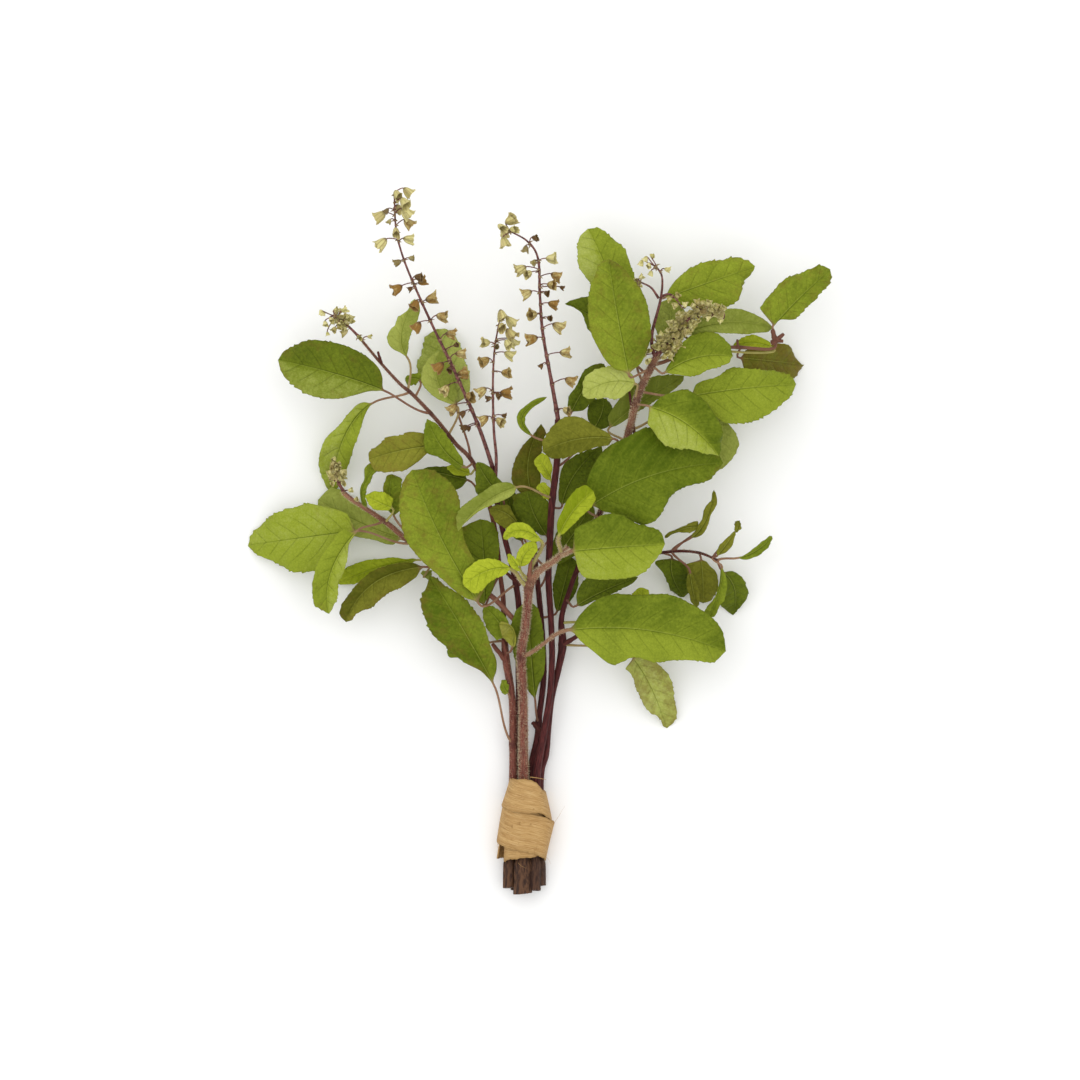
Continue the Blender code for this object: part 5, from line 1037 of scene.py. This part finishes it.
def make_leaf(leaf, routes, replaces):
    """One leaf as one closed surface, from the petiole to the tip. The midrib is a quadratic
    Bezier curve. A section goes over the upper side from left to right and back below. It is
    round on the petiole and thin on the blade, whose halves rise from the midrib like a V, swell
    between the side veins and ripple towards the edge."""
    look = leaf.look
    random = np.random.default_rng(sum(ord(letter) for letter in leaf.name))
    base, middle, tip = (np.array(p, float) for p in (leaf.base, leaf.middle, leaf.tip))
    control = 2 * middle - (base + tip) / 2
    length = distances(bezier(np.linspace(0, 1, 40), base, control, tip))[-1]
    widest = max(*leaf.left, *leaf.right)
    blade_rows = int(np.clip(ROWS_PER_MM * length, *BLADE_ROWS))
    stalk_length = np.linalg.norm(base - petiole(leaf, routes, 2)[0])
    stalk_rows = int(np.clip(stalk_length * STALK_ROWS_PER_MM, *STALK_ROWS))
    half_columns = 7 + int(min(7, widest))
    s = np.linspace(0, 1, blade_rows + 1)[1:]
    t = s - 0.3 * np.sin(2 * np.pi * s) / (2 * np.pi)
    t[-1] = 0.999  # so that the last section has some width
    path = np.vstack([petiole(leaf, routes, stalk_rows), bezier(t, base, control, tip)])
    t = np.concatenate([np.zeros(stalk_rows), t])
    ahead = directions(path)
    side = unit(np.cross(UP, ahead))
    rise = np.cross(ahead, side)
    roll = np.radians(leaf.roll + look.twist * random.choice([-1, 1]) * (t - 0.4))[:, None]
    left = side * np.cos(roll) - rise * np.sin(roll)
    up = rise * np.cos(roll) + side * np.sin(roll)

    # The outline, with teeth that lean towards the tip.
    u = np.linspace(1, -1, 2 * half_columns + 1)
    c = np.sign(u) * np.abs(u) ** 1.2
    on_left = c[None, :] >= 0

    def by_side(pair):
        """The first of a pair of rows on the left half, and the second on the right half."""
        return np.where(on_left, pair[0][:, None], pair[1][:, None])

    half = by_side((half_width(leaf.left, t), half_width(leaf.right, t)))
    open_blade = ease(0, 0.2, t)[:, None] * ease(1.0, 0.86, t)[:, None]
    count = max(5, round(length / TOOTH_SPACING))
    tooth = [teeth(t, count, random.random(), 0.2 + 0.8 * random.random(count + 3)) for _ in "lr"]
    tooth = by_side(tooth)
    swing = by_side([edge_swing(t, random) for _ in "lr"])
    tooth_size = look.teeth * min(TOOTH_HEIGHT, 0.15 + 0.04 * widest)
    near_edge = np.abs(c)[None, :] ** 6
    widen = tooth_size * (tooth - 0.4) * near_edge * np.minimum(1, half / 2)
    widen = widen + look.wave * swing * (c**2)[None, :] * open_blade
    x = c * np.maximum(half + widen, 0)
    forward = tooth_size * 0.8 * tooth * near_edge

    # Side veins, the swelling between them and the slow ripple of the edge.
    a = (t * length)[:, None]
    spacing = length / max(FEWEST_VEINS, round(length / VEIN_SPACING))
    aside = np.where(c >= 0, 0, 0.22)[None, :]
    number = (a - VEIN_SLOPE * np.abs(x) - VEIN_CURVE * x**2) / spacing + aside
    number = number + 0.12 * np.sin(1.3 * a / spacing + 6 * random.random())
    between = np.sin(np.pi * np.mod(number, 1)) ** 0.75
    swell = SWELL * spacing * between * (1 - c[None, :] ** 4) * open_blade
    swell *= ease(0.0, 0.25, np.abs(c))[None, :]
    waves = 1.4 + 1.6 * random.random(2)
    starts = 2 * np.pi * random.random(2)
    pick = np.where(c >= 0, 0, 1)
    ripple = np.sin(2 * np.pi * waves[pick][None, :] * t[:, None] + starts[pick][None, :])
    ripple = RIPPLE * widest * ripple * (c**2)[None, :] * open_blade
    fold = math.radians(leaf.fold)
    lift = np.abs(x) * math.sin(fold) * (1.1 - 0.25 * c[None, :] ** 2) + swell + ripple
    groove = GROOVE_DEPTH * hump(x, 0, GROOVE_HALF_WIDTH) * ease(0.02, 0.15, t)[:, None]
    groove *= (1 - t[:, None]) ** 0.4
    rib_radius = np.maximum(0.06, min(look.stalk, 0.45) * (1 - t[:, None]) ** 0.8)
    rib = 1.3 * rib_radius * hump(x, 0, rib_radius)
    side_rib = SIDE_RIB_HEIGHT * hump(np.mod(number + 0.5, 1), 0.5, 0.09) * open_blade
    side_rib *= (1 - c**2)[None, :]
    edge_share = (np.abs(c) ** 3)[None, :]
    half_thickness = LEAF_HALF_THICKNESS * (1 - edge_share) + LEAF_EDGE_HALF_THICKNESS * edge_share
    top = lift - groove + half_thickness
    bottom = lift - rib - side_rib - half_thickness

    # The round section of the petiole turns into the blade's over the first part of the blade.
    angle = np.linspace(0.08, np.pi - 0.08, len(c))
    swollen = np.concatenate([np.linspace(0, 4, stalk_rows), np.full(blade_rows, 9.0)])
    thick = look.stalk * (1 + STALK_FOOT * hump(swollen, 0, 0.8))[:, None]
    flat = ease(0.0, 0.08, t)[:, None]
    over_x = (1 - flat) * thick * np.cos(angle)[None, :] + flat * x * math.cos(fold)
    round_z = thick * np.sin(angle)[None, :]
    top = (1 - flat) * round_z + flat * top
    bottom = (1 - flat) * -round_z + flat * bottom
    across = there_and_back(over_x)
    above = np.hstack([top, bottom[:, ::-1]])
    ahead_by = there_and_back(forward)
    points = (
        path[:, None, :]
        + left[:, None, :] * across[..., None]
        + up[:, None, :] * above[..., None]
        + ahead[:, None, :] * ahead_by[..., None]
    )
    points[..., 2] = np.maximum(points[..., 2], LOWEST)

    both = np.ones_like(across)
    number = there_and_back(number)
    signed = there_and_back(x)
    c_both = np.concatenate([c, c[::-1]])[None, :] * both
    # Painted light and shade: halves paints the left half of the blade lighter and the right half
    # darker.
    tone = look.tone + look.halves * np.tanh(6 * c_both)
    stalk_share = 1 - ease(0.0, 0.07, t)[:, None] * both
    upper = np.concatenate([np.ones(len(c)), np.zeros(len(c))])[None, :] * both
    make_piece(
        leaf.name,
        [
            skin(
                points,
                vein=np.stack([number, signed, a * both], -1),
                tint=np.stack([tone, look.brown * both, stalk_share], -1),
                place=np.stack([np.abs(c_both), upper, t[:, None] * both], -1),
            )
        ],
        SKINS[leaf.finish],
        replaces,
    )


# Stems

STEM_SIDES = 20
HAIR_RADIUS = 0.06
NODE_SWELL = 0.14  # how much a node is thicker than its stem, as a share
FLARE = 0.32  # how much a cut end is thicker, as a share
PETIOLE_HAIRS = (420, 0.7)  # how many stand on a petiole of stem_front, and their length
STEM_STEP = 0.9
SPIKE_STEP = 0.8

# Where a stem bears hairs: its name, the share of its length where they start and end, how many
# there are and how long they are.
HAIRY = {
    "stem_front": (0.17, 1.0, 8000, 0.9),
    "stem_right": (0.6, 1.0, 3600, 1.0),
    "stem_left": (0.2, 0.7, 1400, 0.55),
    "twig_left": (0.25, 1.0, 1300, 0.8),
    "twig_low_right": (0.3, 1.0, 500, 0.5),
    "branch_upper_left": (0.1, 1.0, 900, 0.45),
}

# Stems that are paler all along, with the share of pale tissue.
PALE_ALL_ALONG = {"twig_far_right": 0.8, "branch_upper_left": 0.45, "twig_left": 0.5}

# Cut side shoots, leaf scars and dried buds: the stem, the start, the end and both radii.
STUBS = (
    ("stem_left", (-6.4, 53.6, 10), (-10.6, 59.2, 10.8), 0.9, 0.6),
    ("stem_left", (-5.8, 55.6, 10.6), (-7.2, 60.8, 12.4), 0.8, 0.5),
    ("stem_right", (12.9, 58.8, 8.6), (17.9, 61.8, 10), 0.9, 0.7),
    ("stem_back", (3, 32.6, 4.2), (5.2, 29.8, 4.4), 0.7, 0.9),
    ("stem_right", (36.8, 128.8, 27.4), (34.8, 144.8, 30), 0.5, 0.4),
    ("branch_upper_left", (-47.4, 152.7, 25), (-48.6, 156.6, 26), 0.5, 0.4),
    ("stem_front", (1.6, 80.6, 25.4), (2.4, 88.4, 30.4), 0.9, 0.4),
    ("stem_left_spikes", (-1.4, 79, 16), (-7.4, 84.4, 17.4), 0.8, 0.5),
    ("twig_far_right", (82.6, 159.4, 29.6), (86.2, 162.4, 31.6), 1, 0.5),
    ("twig_far_right", (83.2, 160.2, 29.2), (86, 160, 31.4), 0.9, 0.5),
    ("twig_far_right", (83.4, 160, 30), (82.4, 163.8, 32), 1, 0.6),
    ("twig_far_right", (83, 161.4, 30), (84.8, 159.8, 31.8), 0.9, 0.5),
    ("twig_far_right", (71, 158, 30), (70.8, 160.4, 31), 0.5, 0.4),
)


def around(path, radii, sides, ridges=0):
    """A tube: at each point of a path a ring across it, in the plane of up and the sideways
    direction, with the given radius times 1 + ridges."""
    ahead = directions(path)
    hint = np.where(np.abs(ahead[:, 2:3]) > 0.9, np.array([[1.0, 0, 0]]), UP[None, :])
    side = unit(np.cross(hint, ahead))
    rise = np.cross(ahead, side)
    angle = 2 * np.pi * np.arange(sides) / sides
    radius = np.asarray(radii, float).reshape(-1, 1) * np.ones((1, sides)) * (1 + ridges)
    ring = (
        side[:, None, :] * np.cos(angle)[None, :, None]
        + rise[:, None, :] * np.sin(angle)[None, :, None]
    )
    return path[:, None, :] + ring * radius[..., None], angle


def hairs(route, span, count, length, random, cell):
    """Many hairs as closed pyramids on three sides. Each stands on the stem's surface at a
    random place and leans a little."""
    ahead = directions(route[:, :3])
    side = unit(np.cross(UP, ahead))
    rise = np.cross(ahead, side)
    row = (span[0] + (span[1] - span[0]) * random.random(count)) * (len(route) - 1.001)
    index = row.astype(int)
    part = (row - index)[:, None]
    middle = route[index, :3] * (1 - part) + route[index + 1, :3] * part
    angle = 2 * np.pi * random.random(count)[:, None]
    normal = side[index] * np.cos(angle) + rise[index] * np.sin(angle)
    foot = middle + normal * (route[index, 3:4] * 0.93)
    lean = unit(normal + 0.35 * random.normal(size=(count, 3)) + 0.25 * ahead[index])
    first = unit(np.cross(lean, ahead[index] + 0.01))
    second = np.cross(lean, first)
    turn = 2 * np.pi * np.arange(3) / 3
    ring = first[:, None] * np.cos(turn)[:, None] + second[:, None] * np.sin(turn)[:, None]
    feet = foot[:, None] + ring * HAIR_RADIUS
    tall = length * (0.5 + 0.7 * random.random(count))[:, None, None]
    tips = foot[:, None] + lean[:, None] * tall
    points = np.concatenate([feet, tips], 1).reshape(-1, 3)
    faces = np.array([[2, 1, 0], [0, 1, 3], [1, 2, 3], [2, 0, 3]])
    fans = (4 * np.arange(count)[:, None, None] + faces[None]).reshape(-1, 3)
    across = int(math.ceil(math.sqrt(count)))
    low = np.stack([np.arange(count) % across, np.arange(count) // across], -1) / across
    corner = np.array([[0, 0], [0.8, 0], [0.4, 0.8]]) / across
    maps = np.repeat((low[:, None] + corner[None])[:, None], 4, 1).reshape(-1, 3, 2)
    corner, size = np.array(cell[:2]), np.array(cell[2:])
    n = len(points)
    return {
        "points": points,
        "quads": np.zeros((0, 4), int),
        "fans": fans,
        "quad_map": np.zeros((0, 4, 2)),
        "fan_map": corner + maps * size,
        "values": {"grain": np.zeros((n, 3)), "shade": np.tile([1.0, 0, 0], (n, 1))},
    }


def make_stem(name, route, finish, joins, petioles, random):
    """One stem as a ribbed tube with swollen nodes, its stubs and its hairs, also those of the
    petioles given. The radius is r (1 + 0.05 cos 4a + fine ribs) and grows by a seventh in a
    bell curve round each node. Below the tie it grows by a third and the ribs deepen."""
    path, radius = route[:, :3], route[:, 3]
    along = distances(path)
    nodes = np.zeros(len(path))
    for join in joins:
        index = np.argmin(np.linalg.norm(path[:, :2] - np.array(join), axis=1))
        nodes = np.maximum(nodes, hump(along, along[index], 1.2))
    old = ease(-3.0, -13.0, path[:, 1])
    flare = 1 + FLARE * ease(-11.5, -15.5, path[:, 1])
    angle = 2 * np.pi * np.arange(STEM_SIDES) / STEM_SIDES
    phase = random.random(3) * 2 * np.pi
    ridges = 0.05 * np.cos(4 * angle + phase[0])[None, :] + 0.03 * np.sin(
        3 * angle[None, :] + 0.25 * along[:, None] + phase[1]
    )
    ridges = ridges + old[:, None] * 0.07 * np.cos(7 * angle[None, :] + phase[2])
    ridges = ridges + 0.004 * random.normal(size=ridges.shape)
    young = ease(0.8, 1.0, along / along[-1]) if name in ("stem_front", "twig_left") else 0 * along
    if name == "stem_front":
        young = np.maximum(young, ease(75, 81, path[:, 1]))
    if name == "stem_right":
        young = 0.9 * ease(104, 124, path[:, 1])
    if name in PALE_ALL_ALONG:
        young = young + PALE_ALL_ALONG[name]
    points, _ = around(path, radius * flare * (1 + NODE_SWELL * nodes), STEM_SIDES, ridges)
    points[0, :, 1] += 0.3 * np.cos(angle + phase[1])
    one = np.ones((len(path), STEM_SIDES))
    grain = np.stack([angle[None, :] * one, along[:, None] * one, nodes[:, None] * one], -1)
    shade = np.stack([0 * one, young[:, None] * one, old[:, None] * one], -1)
    skins = [skin(points, (0, 0, 1, 0.45), grain=grain, shade=shade)]
    stubs = [stub for stub in STUBS if stub[0] == name]
    for number, (_, start, end, thick, thin) in enumerate(stubs):
        t = np.linspace(0, 1, 7)[:, None]
        bent = np.array([0, 0, 0.8]) * np.sin(np.pi * t)
        stub_path = np.array(start, float) * (1 - t) + np.array(end, float) * t + bent
        widths = thick * (1 - t[:, 0]) + thin * t[:, 0]
        shape, turn = around(stub_path, widths, 10, 0.1 * random.normal(size=(7, 10)))
        one = np.ones((7, 10))
        pale = 0.5 if name in ("stem_front", "twig_far_right") else 0.1
        skins.append(
            skin(
                shape,
                (0.1 * number, 0.46, 0.09, 0.08),
                grain=np.stack([turn[None, :] * one, 9 * t * one, 0 * one], -1),
                shade=np.stack([0 * one, pale * one, 0 * one], -1),
            )
        )
    if name in HAIRY:
        low, high, count, length = HAIRY[name]
        skins.append(hairs(route, (low, high), count, length, random, (0, 0.55, 1, 0.3)))
    for number, stalk in enumerate(petioles):
        cell = (0.2 * number, 0.86, 0.19, 0.13)
        skins.append(hairs(stalk, (0.1, 0.95), *PETIOLE_HAIRS, random, cell))
    make_piece(name, skins, SKINS[finish], name)


# Spikes

CALYX_SIDES = 14
BUD_SIDES = 6
BUD_WHORLS = 7  # clumps of buds along the end of a young spike
CALYX_LENGTH = 4.0
YOUNG_SPIKES = ("spike_right", "spike_top_right", "spike_left_bud", "spike_upper_left")
MOST_SURFACES = 700  # of any spike, each with its own rectangle of the texture map

# How many buds crowd round a young spike and the share of its length where they start.
BUD_CROWDS = {"spike_right": (130, 0.1), "spike_top_right": (0, 1)}
COMMON_BUD_CROWD = (22, 0.5)


def calyx(spot, outward, lip, size, ripe, green, cell, random, sides=CALYX_SIDES):
    """One calyx: a torn bell whose axis is outward. With v the share from neck to mouth its
    radius is 0.3 + 1.35 (1 - (1 - v)^4) + 0.15 v^6, and a fifth less from side to side. The upper
    lip is bent back along lip into a point, two narrow teeth stand on the lower lip, and the rim
    is uneven. The wall turns in at the mouth and runs back inside. A bud has half the rows."""
    v = np.array([0.0, 0.1, 0.26, 0.5, 0.76, 0.92, 1.0, 0.95, 0.6, 0.3])
    inner = np.array([0, 0, 0, 0, 0, 0, 0, 0.1, 0.18, 0.25])
    if sides == BUD_SIDES:
        v, inner = v[[0, 2, 4, 6, 8]], inner[[0, 2, 4, 6, 8]]
    v, inner = v[:, None], inner[:, None]
    axis = unit(outward)
    across = unit(np.cross(axis, lip))
    lip = np.cross(across, axis)
    angle = 2 * np.pi * np.arange(sides) / sides
    upper, left, right = (
        hump(np.mod(angle - at + np.pi, 2 * np.pi) - np.pi, 0, width)
        for at, width in ((np.pi / 2, 0.5), (-2.05, 0.3), (-1.09, 0.3))
    )
    torn = random.normal(size=(2, sides))
    radius = 0.3 + 1.35 * (1 - (1 - v) ** 4) + 0.15 * v**6 - inner
    radius = radius * (1 + 0.09 * v**2 * torn[0]) + 1.2 * v**4 * upper
    depth = CALYX_LENGTH * (v - 0.5) + v**4 * (
        0.9 * (left + right) - 0.3 * upper - 0.3 + 0.28 * torn[1]
    )
    ring = 0.8 * across[None, :] * np.cos(angle)[:, None] + lip[None, :] * np.sin(angle)[:, None]
    points = spot + size * (axis[None, None] * depth[..., None] + ring[None] * radius[..., None])
    one = np.ones(depth.shape)
    flower = np.stack([ripe * one, v * one, angle[None, :] * one], -1)
    # The rows that turn back inside the mouth get painted shade.
    kind = np.stack([0 * one, 0.4 * (inner > 0.1) * one, green * one], -1)
    return skin(points, cell, flower=flower, kind=kind)


def twiglet(path, radii, cell, kind=(1.0, 0, 0), sides=5):
    """A thin stalk or bract: a plain tube along a path."""
    points, _ = around(path, radii, sides)
    return skin(points, cell, flower=(0.0, 0.5, 0.0), kind=kind)


def cells(count, low, height):
    """Rectangles of the texture map, side by side in a band from low, for count surfaces."""
    columns = int(math.ceil(math.sqrt(count)))
    width = 1 / columns
    tall = height / columns
    return [
        (width * (n % columns), low + tall * (n // columns), width * 0.94, tall * 0.94)
        for n in range(count)
    ]


def make_spike(name, shoots, flowers, random):
    """A flower spike: its axis and side shoots with swollen whorls, and each calyx on a thin
    bent stalk from the nearest point of them. Small buds crowd round the end of a young spike."""
    route = np.vstack(shoots)
    path = route[:, :3]
    ahead = np.vstack([directions(shoot[:, :3]) for shoot in shoots])
    share = [distances(shoot[:, :3]) for shoot in shoots]
    share = np.concatenate([along / along[-1] for along in share])
    young = name in YOUNG_SPIKES
    boxes = cells(MOST_SURFACES, 0.2, 0.8)
    skins = []
    whorls = np.zeros(len(path))
    for x, y, z, size in flowers:
        spot = np.array([x, y, z])
        index = np.argmin(np.linalg.norm(path - spot, axis=1))
        near, growth = path[index], ahead[index]
        whorls = np.maximum(whorls, hump(np.linalg.norm(path - near, axis=1), 0, 0.7))
        outward = spot - near
        outward = unit(outward - outward.dot(growth) * growth)
        droop = 0.1 + 0.7 * random.random() + (0.6 if share[index] > 0.85 else 0)
        axis = unit(outward - droop * growth + 0.3 * random.normal() * UP)
        new = ease(0.68, 0.8, share[index])
        ripe = 0.2 + 0.5 * random.random() - 0.4 * new
        if size < SPENT and not young:
            ripe = 1.1
        full = size * (0.6 if young else 1.0) * (0.9 + 0.2 * random.random())
        neck = spot - axis * CALYX_LENGTH * 0.48 * full
        green = 0.6 + 0.4 * random.random() if young else 0.5 * new * random.random()
        skins.append(calyx(spot, axis, growth, full, ripe, green, boxes[len(skins)], random))
        bend = near + outward * 0.8 + growth * 0.6
        stalk = bezier(np.linspace(0, 1, 6), near, bend, neck - axis * 0.6, neck + axis * 0.3)
        skins.append(twiglet(stalk, np.full(6, 0.2), boxes[len(skins)]))
        # Two small dry bracts at the foot of the stalk.
        for turn in (-1, 1):
            leaning = unit(np.cross(growth, outward)) * turn
            tip = near + outward * 0.9 + leaning * (1.1 + 0.5 * random.random()) - growth * 0.3
            bend = near + leaning * 0.7 + growth * 0.3
            bract = bezier(np.linspace(0, 1, 4), near, bend, tip)
            # A bract takes a tenth of the painted shade of a calyx's inside.
            skins.append(twiglet(bract, [0.3, 0.34, 0.22, 0.05], boxes[len(skins)], (0.7, 0.1, 0)))
    crowd, first = BUD_CROWDS.get(name, COMMON_BUD_CROWD)
    for number in range(crowd if young else 0):
        at = first + (1 - first) * (number + random.random()) / crowd
        index = int(at * (len(shoots[0]) - 1))
        growth = ahead[index]
        side = unit(np.cross(UP, growth))
        rise = np.cross(growth, side)
        turn = 2.4 * number
        outward = side * math.cos(turn) + rise * math.sin(turn)
        swell = 1 + 0.25 * math.cos(2 * math.pi * BUD_WHORLS * at)
        far = (0.8 + 2.3 * random.random()) * (1.2 - 0.55 * at) * swell
        small = (0.4 + 0.36 * random.random()) * (1.15 - 0.35 * at)
        spot = path[index] + outward * far + growth * 0.4
        axis = unit(outward + 0.5 * growth * random.normal())
        box, ripe, green = boxes[len(skins)], 0.6 * random.random(), random.random() ** 0.35
        skins.append(calyx(spot, axis, growth, small, ripe, green, box, random, BUD_SIDES))
        foot = spot - axis * CALYX_LENGTH * 0.4 * small
        stalk = np.stack([path[index], (path[index] + foot) / 2 + growth * 0.15, foot])
        skins.append(twiglet(stalk, [0.16, 0.14, 0.14], boxes[len(skins)], (0.4, 0, 0.4), 4))
    sides = 10
    angle = 2 * np.pi * np.arange(sides) / sides
    thickness = route[:, 3] * (0.86 - 0.3 * share) * (1 + 0.3 * whorls)
    first = 0
    for number, shoot in enumerate(shoots):
        part = slice(first, first + len(shoot))
        ridges = 0.06 * np.cos(4 * angle)[None, :] + 0.015 * random.normal(size=(len(shoot), sides))
        points, _ = around(path[part], thickness[part], sides, ridges)
        cell = (0, 0.06 * number, 1, 0.055)
        skins.append(skin(points, cell, flower=(0.0, 0.5, 0.0), kind=(1.0, 0, 0)))
        first += len(shoot)
    make_piece(name, skins, SKINS["calyx"], name)


# Tie

STRIP_THICKNESS = 0.4
# Each layer of the wound strip, from the inside out: where round the bundle it starts and ends,
# in turns from its left side over the top, its lower and upper edge at the start, how far it
# sinks over the top and below, how far out its left and right sides reach at the upper edge and
# at the lower edge, and how far its lower edge stands open on the right.
STRIP_TURNS = (
    (0.0, 1.06, -13.8, 1.5, -2.4, 2.4, (-6.9, 8.0), (-7.6, 7.2), 0),
    (-0.1, 1.02, -7.0, 5.6, 6.6, -0.6, (-7.2, 10.4), (-9.4, 7.4), 0),
    (0.0, 1.06, 5.0, 18.2, 6.0, 6.0, (-4.4, 7.0), (-7.2, 9.2), 1.3),
)
STRIP_TOP = 14.4  # the highest edge, which drops by STRIP_CORNER towards the right
STRIP_CORNER = 5.4
STRIP_ROWS = 150
STRIP_COLUMNS = 22
LAYER_STEP = 0.55
TURN_LENGTH = 48  # round the bundle, for the grain of the fibres
LAYER_SHIFT = 90  # of the grain from one layer to the next
BUNDLE_MIDDLE = 6.0
BUNDLE_HALF_HEIGHT = 7.2


def make_tie():
    """The strip of dried leaf fibre, wound round the stems in layers. A layer follows a squarish
    oval round the bundle, flat below, and sinks along the stems as it goes round."""
    skins = []
    random = np.random.default_rng(4)
    for layer, turned in enumerate(STRIP_TURNS):
        start, end, low, high, above, below, upper_x, lower_x, gap = turned
        turns = np.linspace(start, end, STRIP_ROWS)
        v = np.linspace(1, -1, STRIP_COLUMNS)
        v = np.concatenate([v, np.linspace(-1, 1, STRIP_COLUMNS)])
        outer = np.concatenate([np.ones(STRIP_COLUMNS), np.zeros(STRIP_COLUMNS)])
        angle = 2 * np.pi * turns[:, None]
        share = (v[None, :] + 1) / 2
        out = LAYER_STEP * (layer - 2) + outer[None, :] * STRIP_THICKNESS
        out = out + 0.1 * np.sin(5 * angle + 2 * layer) * np.sin(3 * share)
        cosine, sine = -np.cos(angle), np.sin(angle)
        power = 2 / 2.4
        squarish = np.sign(cosine) * np.abs(cosine) ** power
        left_x = lower_x[0] * (1 - share) + upper_x[0] * share
        right_x = lower_x[1] * (1 - share) + upper_x[1] * share
        x = (left_x + right_x) / 2 + ((right_x - left_x) / 2 + out) * squarish
        half_z = BUNDLE_HALF_HEIGHT + out
        z = BUNDLE_MIDDLE + half_z * np.sign(sine) * np.abs(sine) ** power
        z = np.maximum(z, 0.45 * (2 - layer) + (1 - outer[None, :]) * STRIP_THICKNESS + 0.02)
        sunk = above * np.minimum(2 * turns, 1) + below * np.maximum(2 * turns - 1, 0)
        corner = STRIP_CORNER * ease(1.0, 9.0, x[:, :1]) ** 1.3
        bottom = low - sunk[:, None] + gap * hump(turns[:, None], 0.33, 0.08)
        top = np.minimum(high - sunk[:, None], STRIP_TOP - 0.25 * layer - corner)
        wave = 0.12 * np.sin(9 * angle + layer) + 0.08 * np.sin(23 * angle)
        y = bottom + (top - bottom) * share + wave * np.abs(v)[None, :] ** 3
        points = np.stack([x, y, z + 0 * y], -1)
        around_mm = TURN_LENGTH * turns[:, None] + 0 * y
        edge = np.abs(v)[None, :] ** 12 + 0 * y
        strip = np.stack([around_mm + LAYER_SHIFT * layer, y + sunk[:, None], edge], -1)
        skins.append(skin(points, (0, 0.3 * layer, 1, 0.28), strip=strip))
    # Loose fibres: one along the upper edge, one sticking out on the right, and a few short ones.
    threads = (
        ((2, 14.6, 12.6), (4.5, 14.4, 12.9), (7.4, 13.7, 11.8), 0.16),
        ((9.6, -1.6, 10.4), (11.6, 1.4, 11.4), (13.6, 4.8, 12), 0.05),
        ((-8.4, -6.4, 10), (-9.2, -8, 10.4), (-8.8, -9.4, 10.2), 0.07),
        ((7.4, -12.2, 10.5), (8.4, -13.2, 10.6), (8.9, -14.6, 10.2), 0.05),
        ((-2, -14.1, 13), (-1.2, -15.2, 13.2), (0.6, -15.8, 13), 0.05),
    )
    for number, (a, b, c, radius) in enumerate(threads):
        t = np.linspace(0, 1, 10)
        points, _ = around(bezier(t, a, b, c), radius * (1 - 0.6 * t), 5)
        skins.append(
            skin(points, (0.1 * number, 0.92, 0.09, 0.06), strip=(5.0 * random.random(), 0.2, 0))
        )
    make_piece("tie_strip", skins, SKINS["dried_fibre"], "tie_strip")


# The bunch

routes = {name: smooth_route(points, STEM_STEP) for name, (_, points) in STEMS.items()}
routes.update({name: smooth_route(points, SPIKE_STEP) for name, (points, *_) in SPIKES.items()})
seeds = np.random.default_rng(11)
for name, (finish, _) in STEMS.items():
    borne = [leaf for leaf in LEAVES if leaf.stem == name]
    joins = [leaf.joins for leaf in borne]
    petioles = []
    for leaf in borne if name == "stem_front" else ():
        stalk = petiole(leaf, routes, 24)
        petioles.append(np.column_stack([stalk, np.full(24, leaf.look.stalk)]))
    make_stem(name, routes[name], finish, joins, petioles, seeds)
for name, (_, flowers, *side_shoots) in SPIKES.items():
    shoots = [smooth_route(points, SPIKE_STEP) for group in side_shoots for points in group]
    make_spike(name, [routes[name], *shoots], flowers, seeds)
for leaf in LEAVES:
    make_leaf(leaf, routes, leaf.name)
for leaf in SMALL_LEAVES:
    make_leaf(leaf, routes, None)
make_tie()


# Studio

MIDDLE = 0.094  # how far along Y the middle of the picture is


def make_floor():
    """A plain pale sheet under the bunch."""
    mesh = bpy.data.meshes.new("floor")
    reach = 3.0
    corners = [(-reach, -reach, 0), (reach, -reach, 0), (reach, reach, 0), (-reach, reach, 0)]
    mesh.from_pydata(corners, [], [(0, 1, 2, 3)])
    floor = bpy.data.objects.new("floor", mesh)
    bpy.context.scene.collection.objects.link(floor)
    material, shader = new_material("matt_white_card", Roughness=0.9)
    shader.inputs["Base Color"].default_value = linear("#fbfbfa")
    mesh.materials.append(material)


def soft_light(name, place, size, power):
    """A large square lamp that looks at the bunch."""
    lamp = bpy.data.lights.new(name, "AREA")
    lamp.shape = "SQUARE"
    lamp.size = size
    lamp.energy = power
    made = bpy.data.objects.new(name, lamp)
    bpy.context.scene.collection.objects.link(made)
    x, y, z = place
    made.location = place
    across = math.hypot(x, y - MIDDLE)
    made.rotation_euler = (math.atan2(across, z), 0, math.atan2(x, -(y - MIDDLE)))


make_floor()
soft_light("key", (-0.3, 0.35, 1.5), 1.6, 8.8)
soft_light("fill", (0.5, -0.1, 1.6), 1.5, 3)
world = bpy.data.worlds.new("studio")
world.use_nodes = True
world.node_tree.nodes["Background"].inputs["Color"].default_value = (1, 1, 1, 1)
world.node_tree.nodes["Background"].inputs["Strength"].default_value = 0.84
bpy.context.scene.world = world
bpy.context.scene.view_settings.view_transform = "Standard"

camera = bpy.data.objects.new("camera", bpy.data.cameras.new("camera"))
camera.data.lens = 200
camera.data.sensor_width = 36
camera.location = (0.005333, MIDDLE, 2.022)
bpy.context.scene.collection.objects.link(camera)
bpy.context.scene.camera = camera
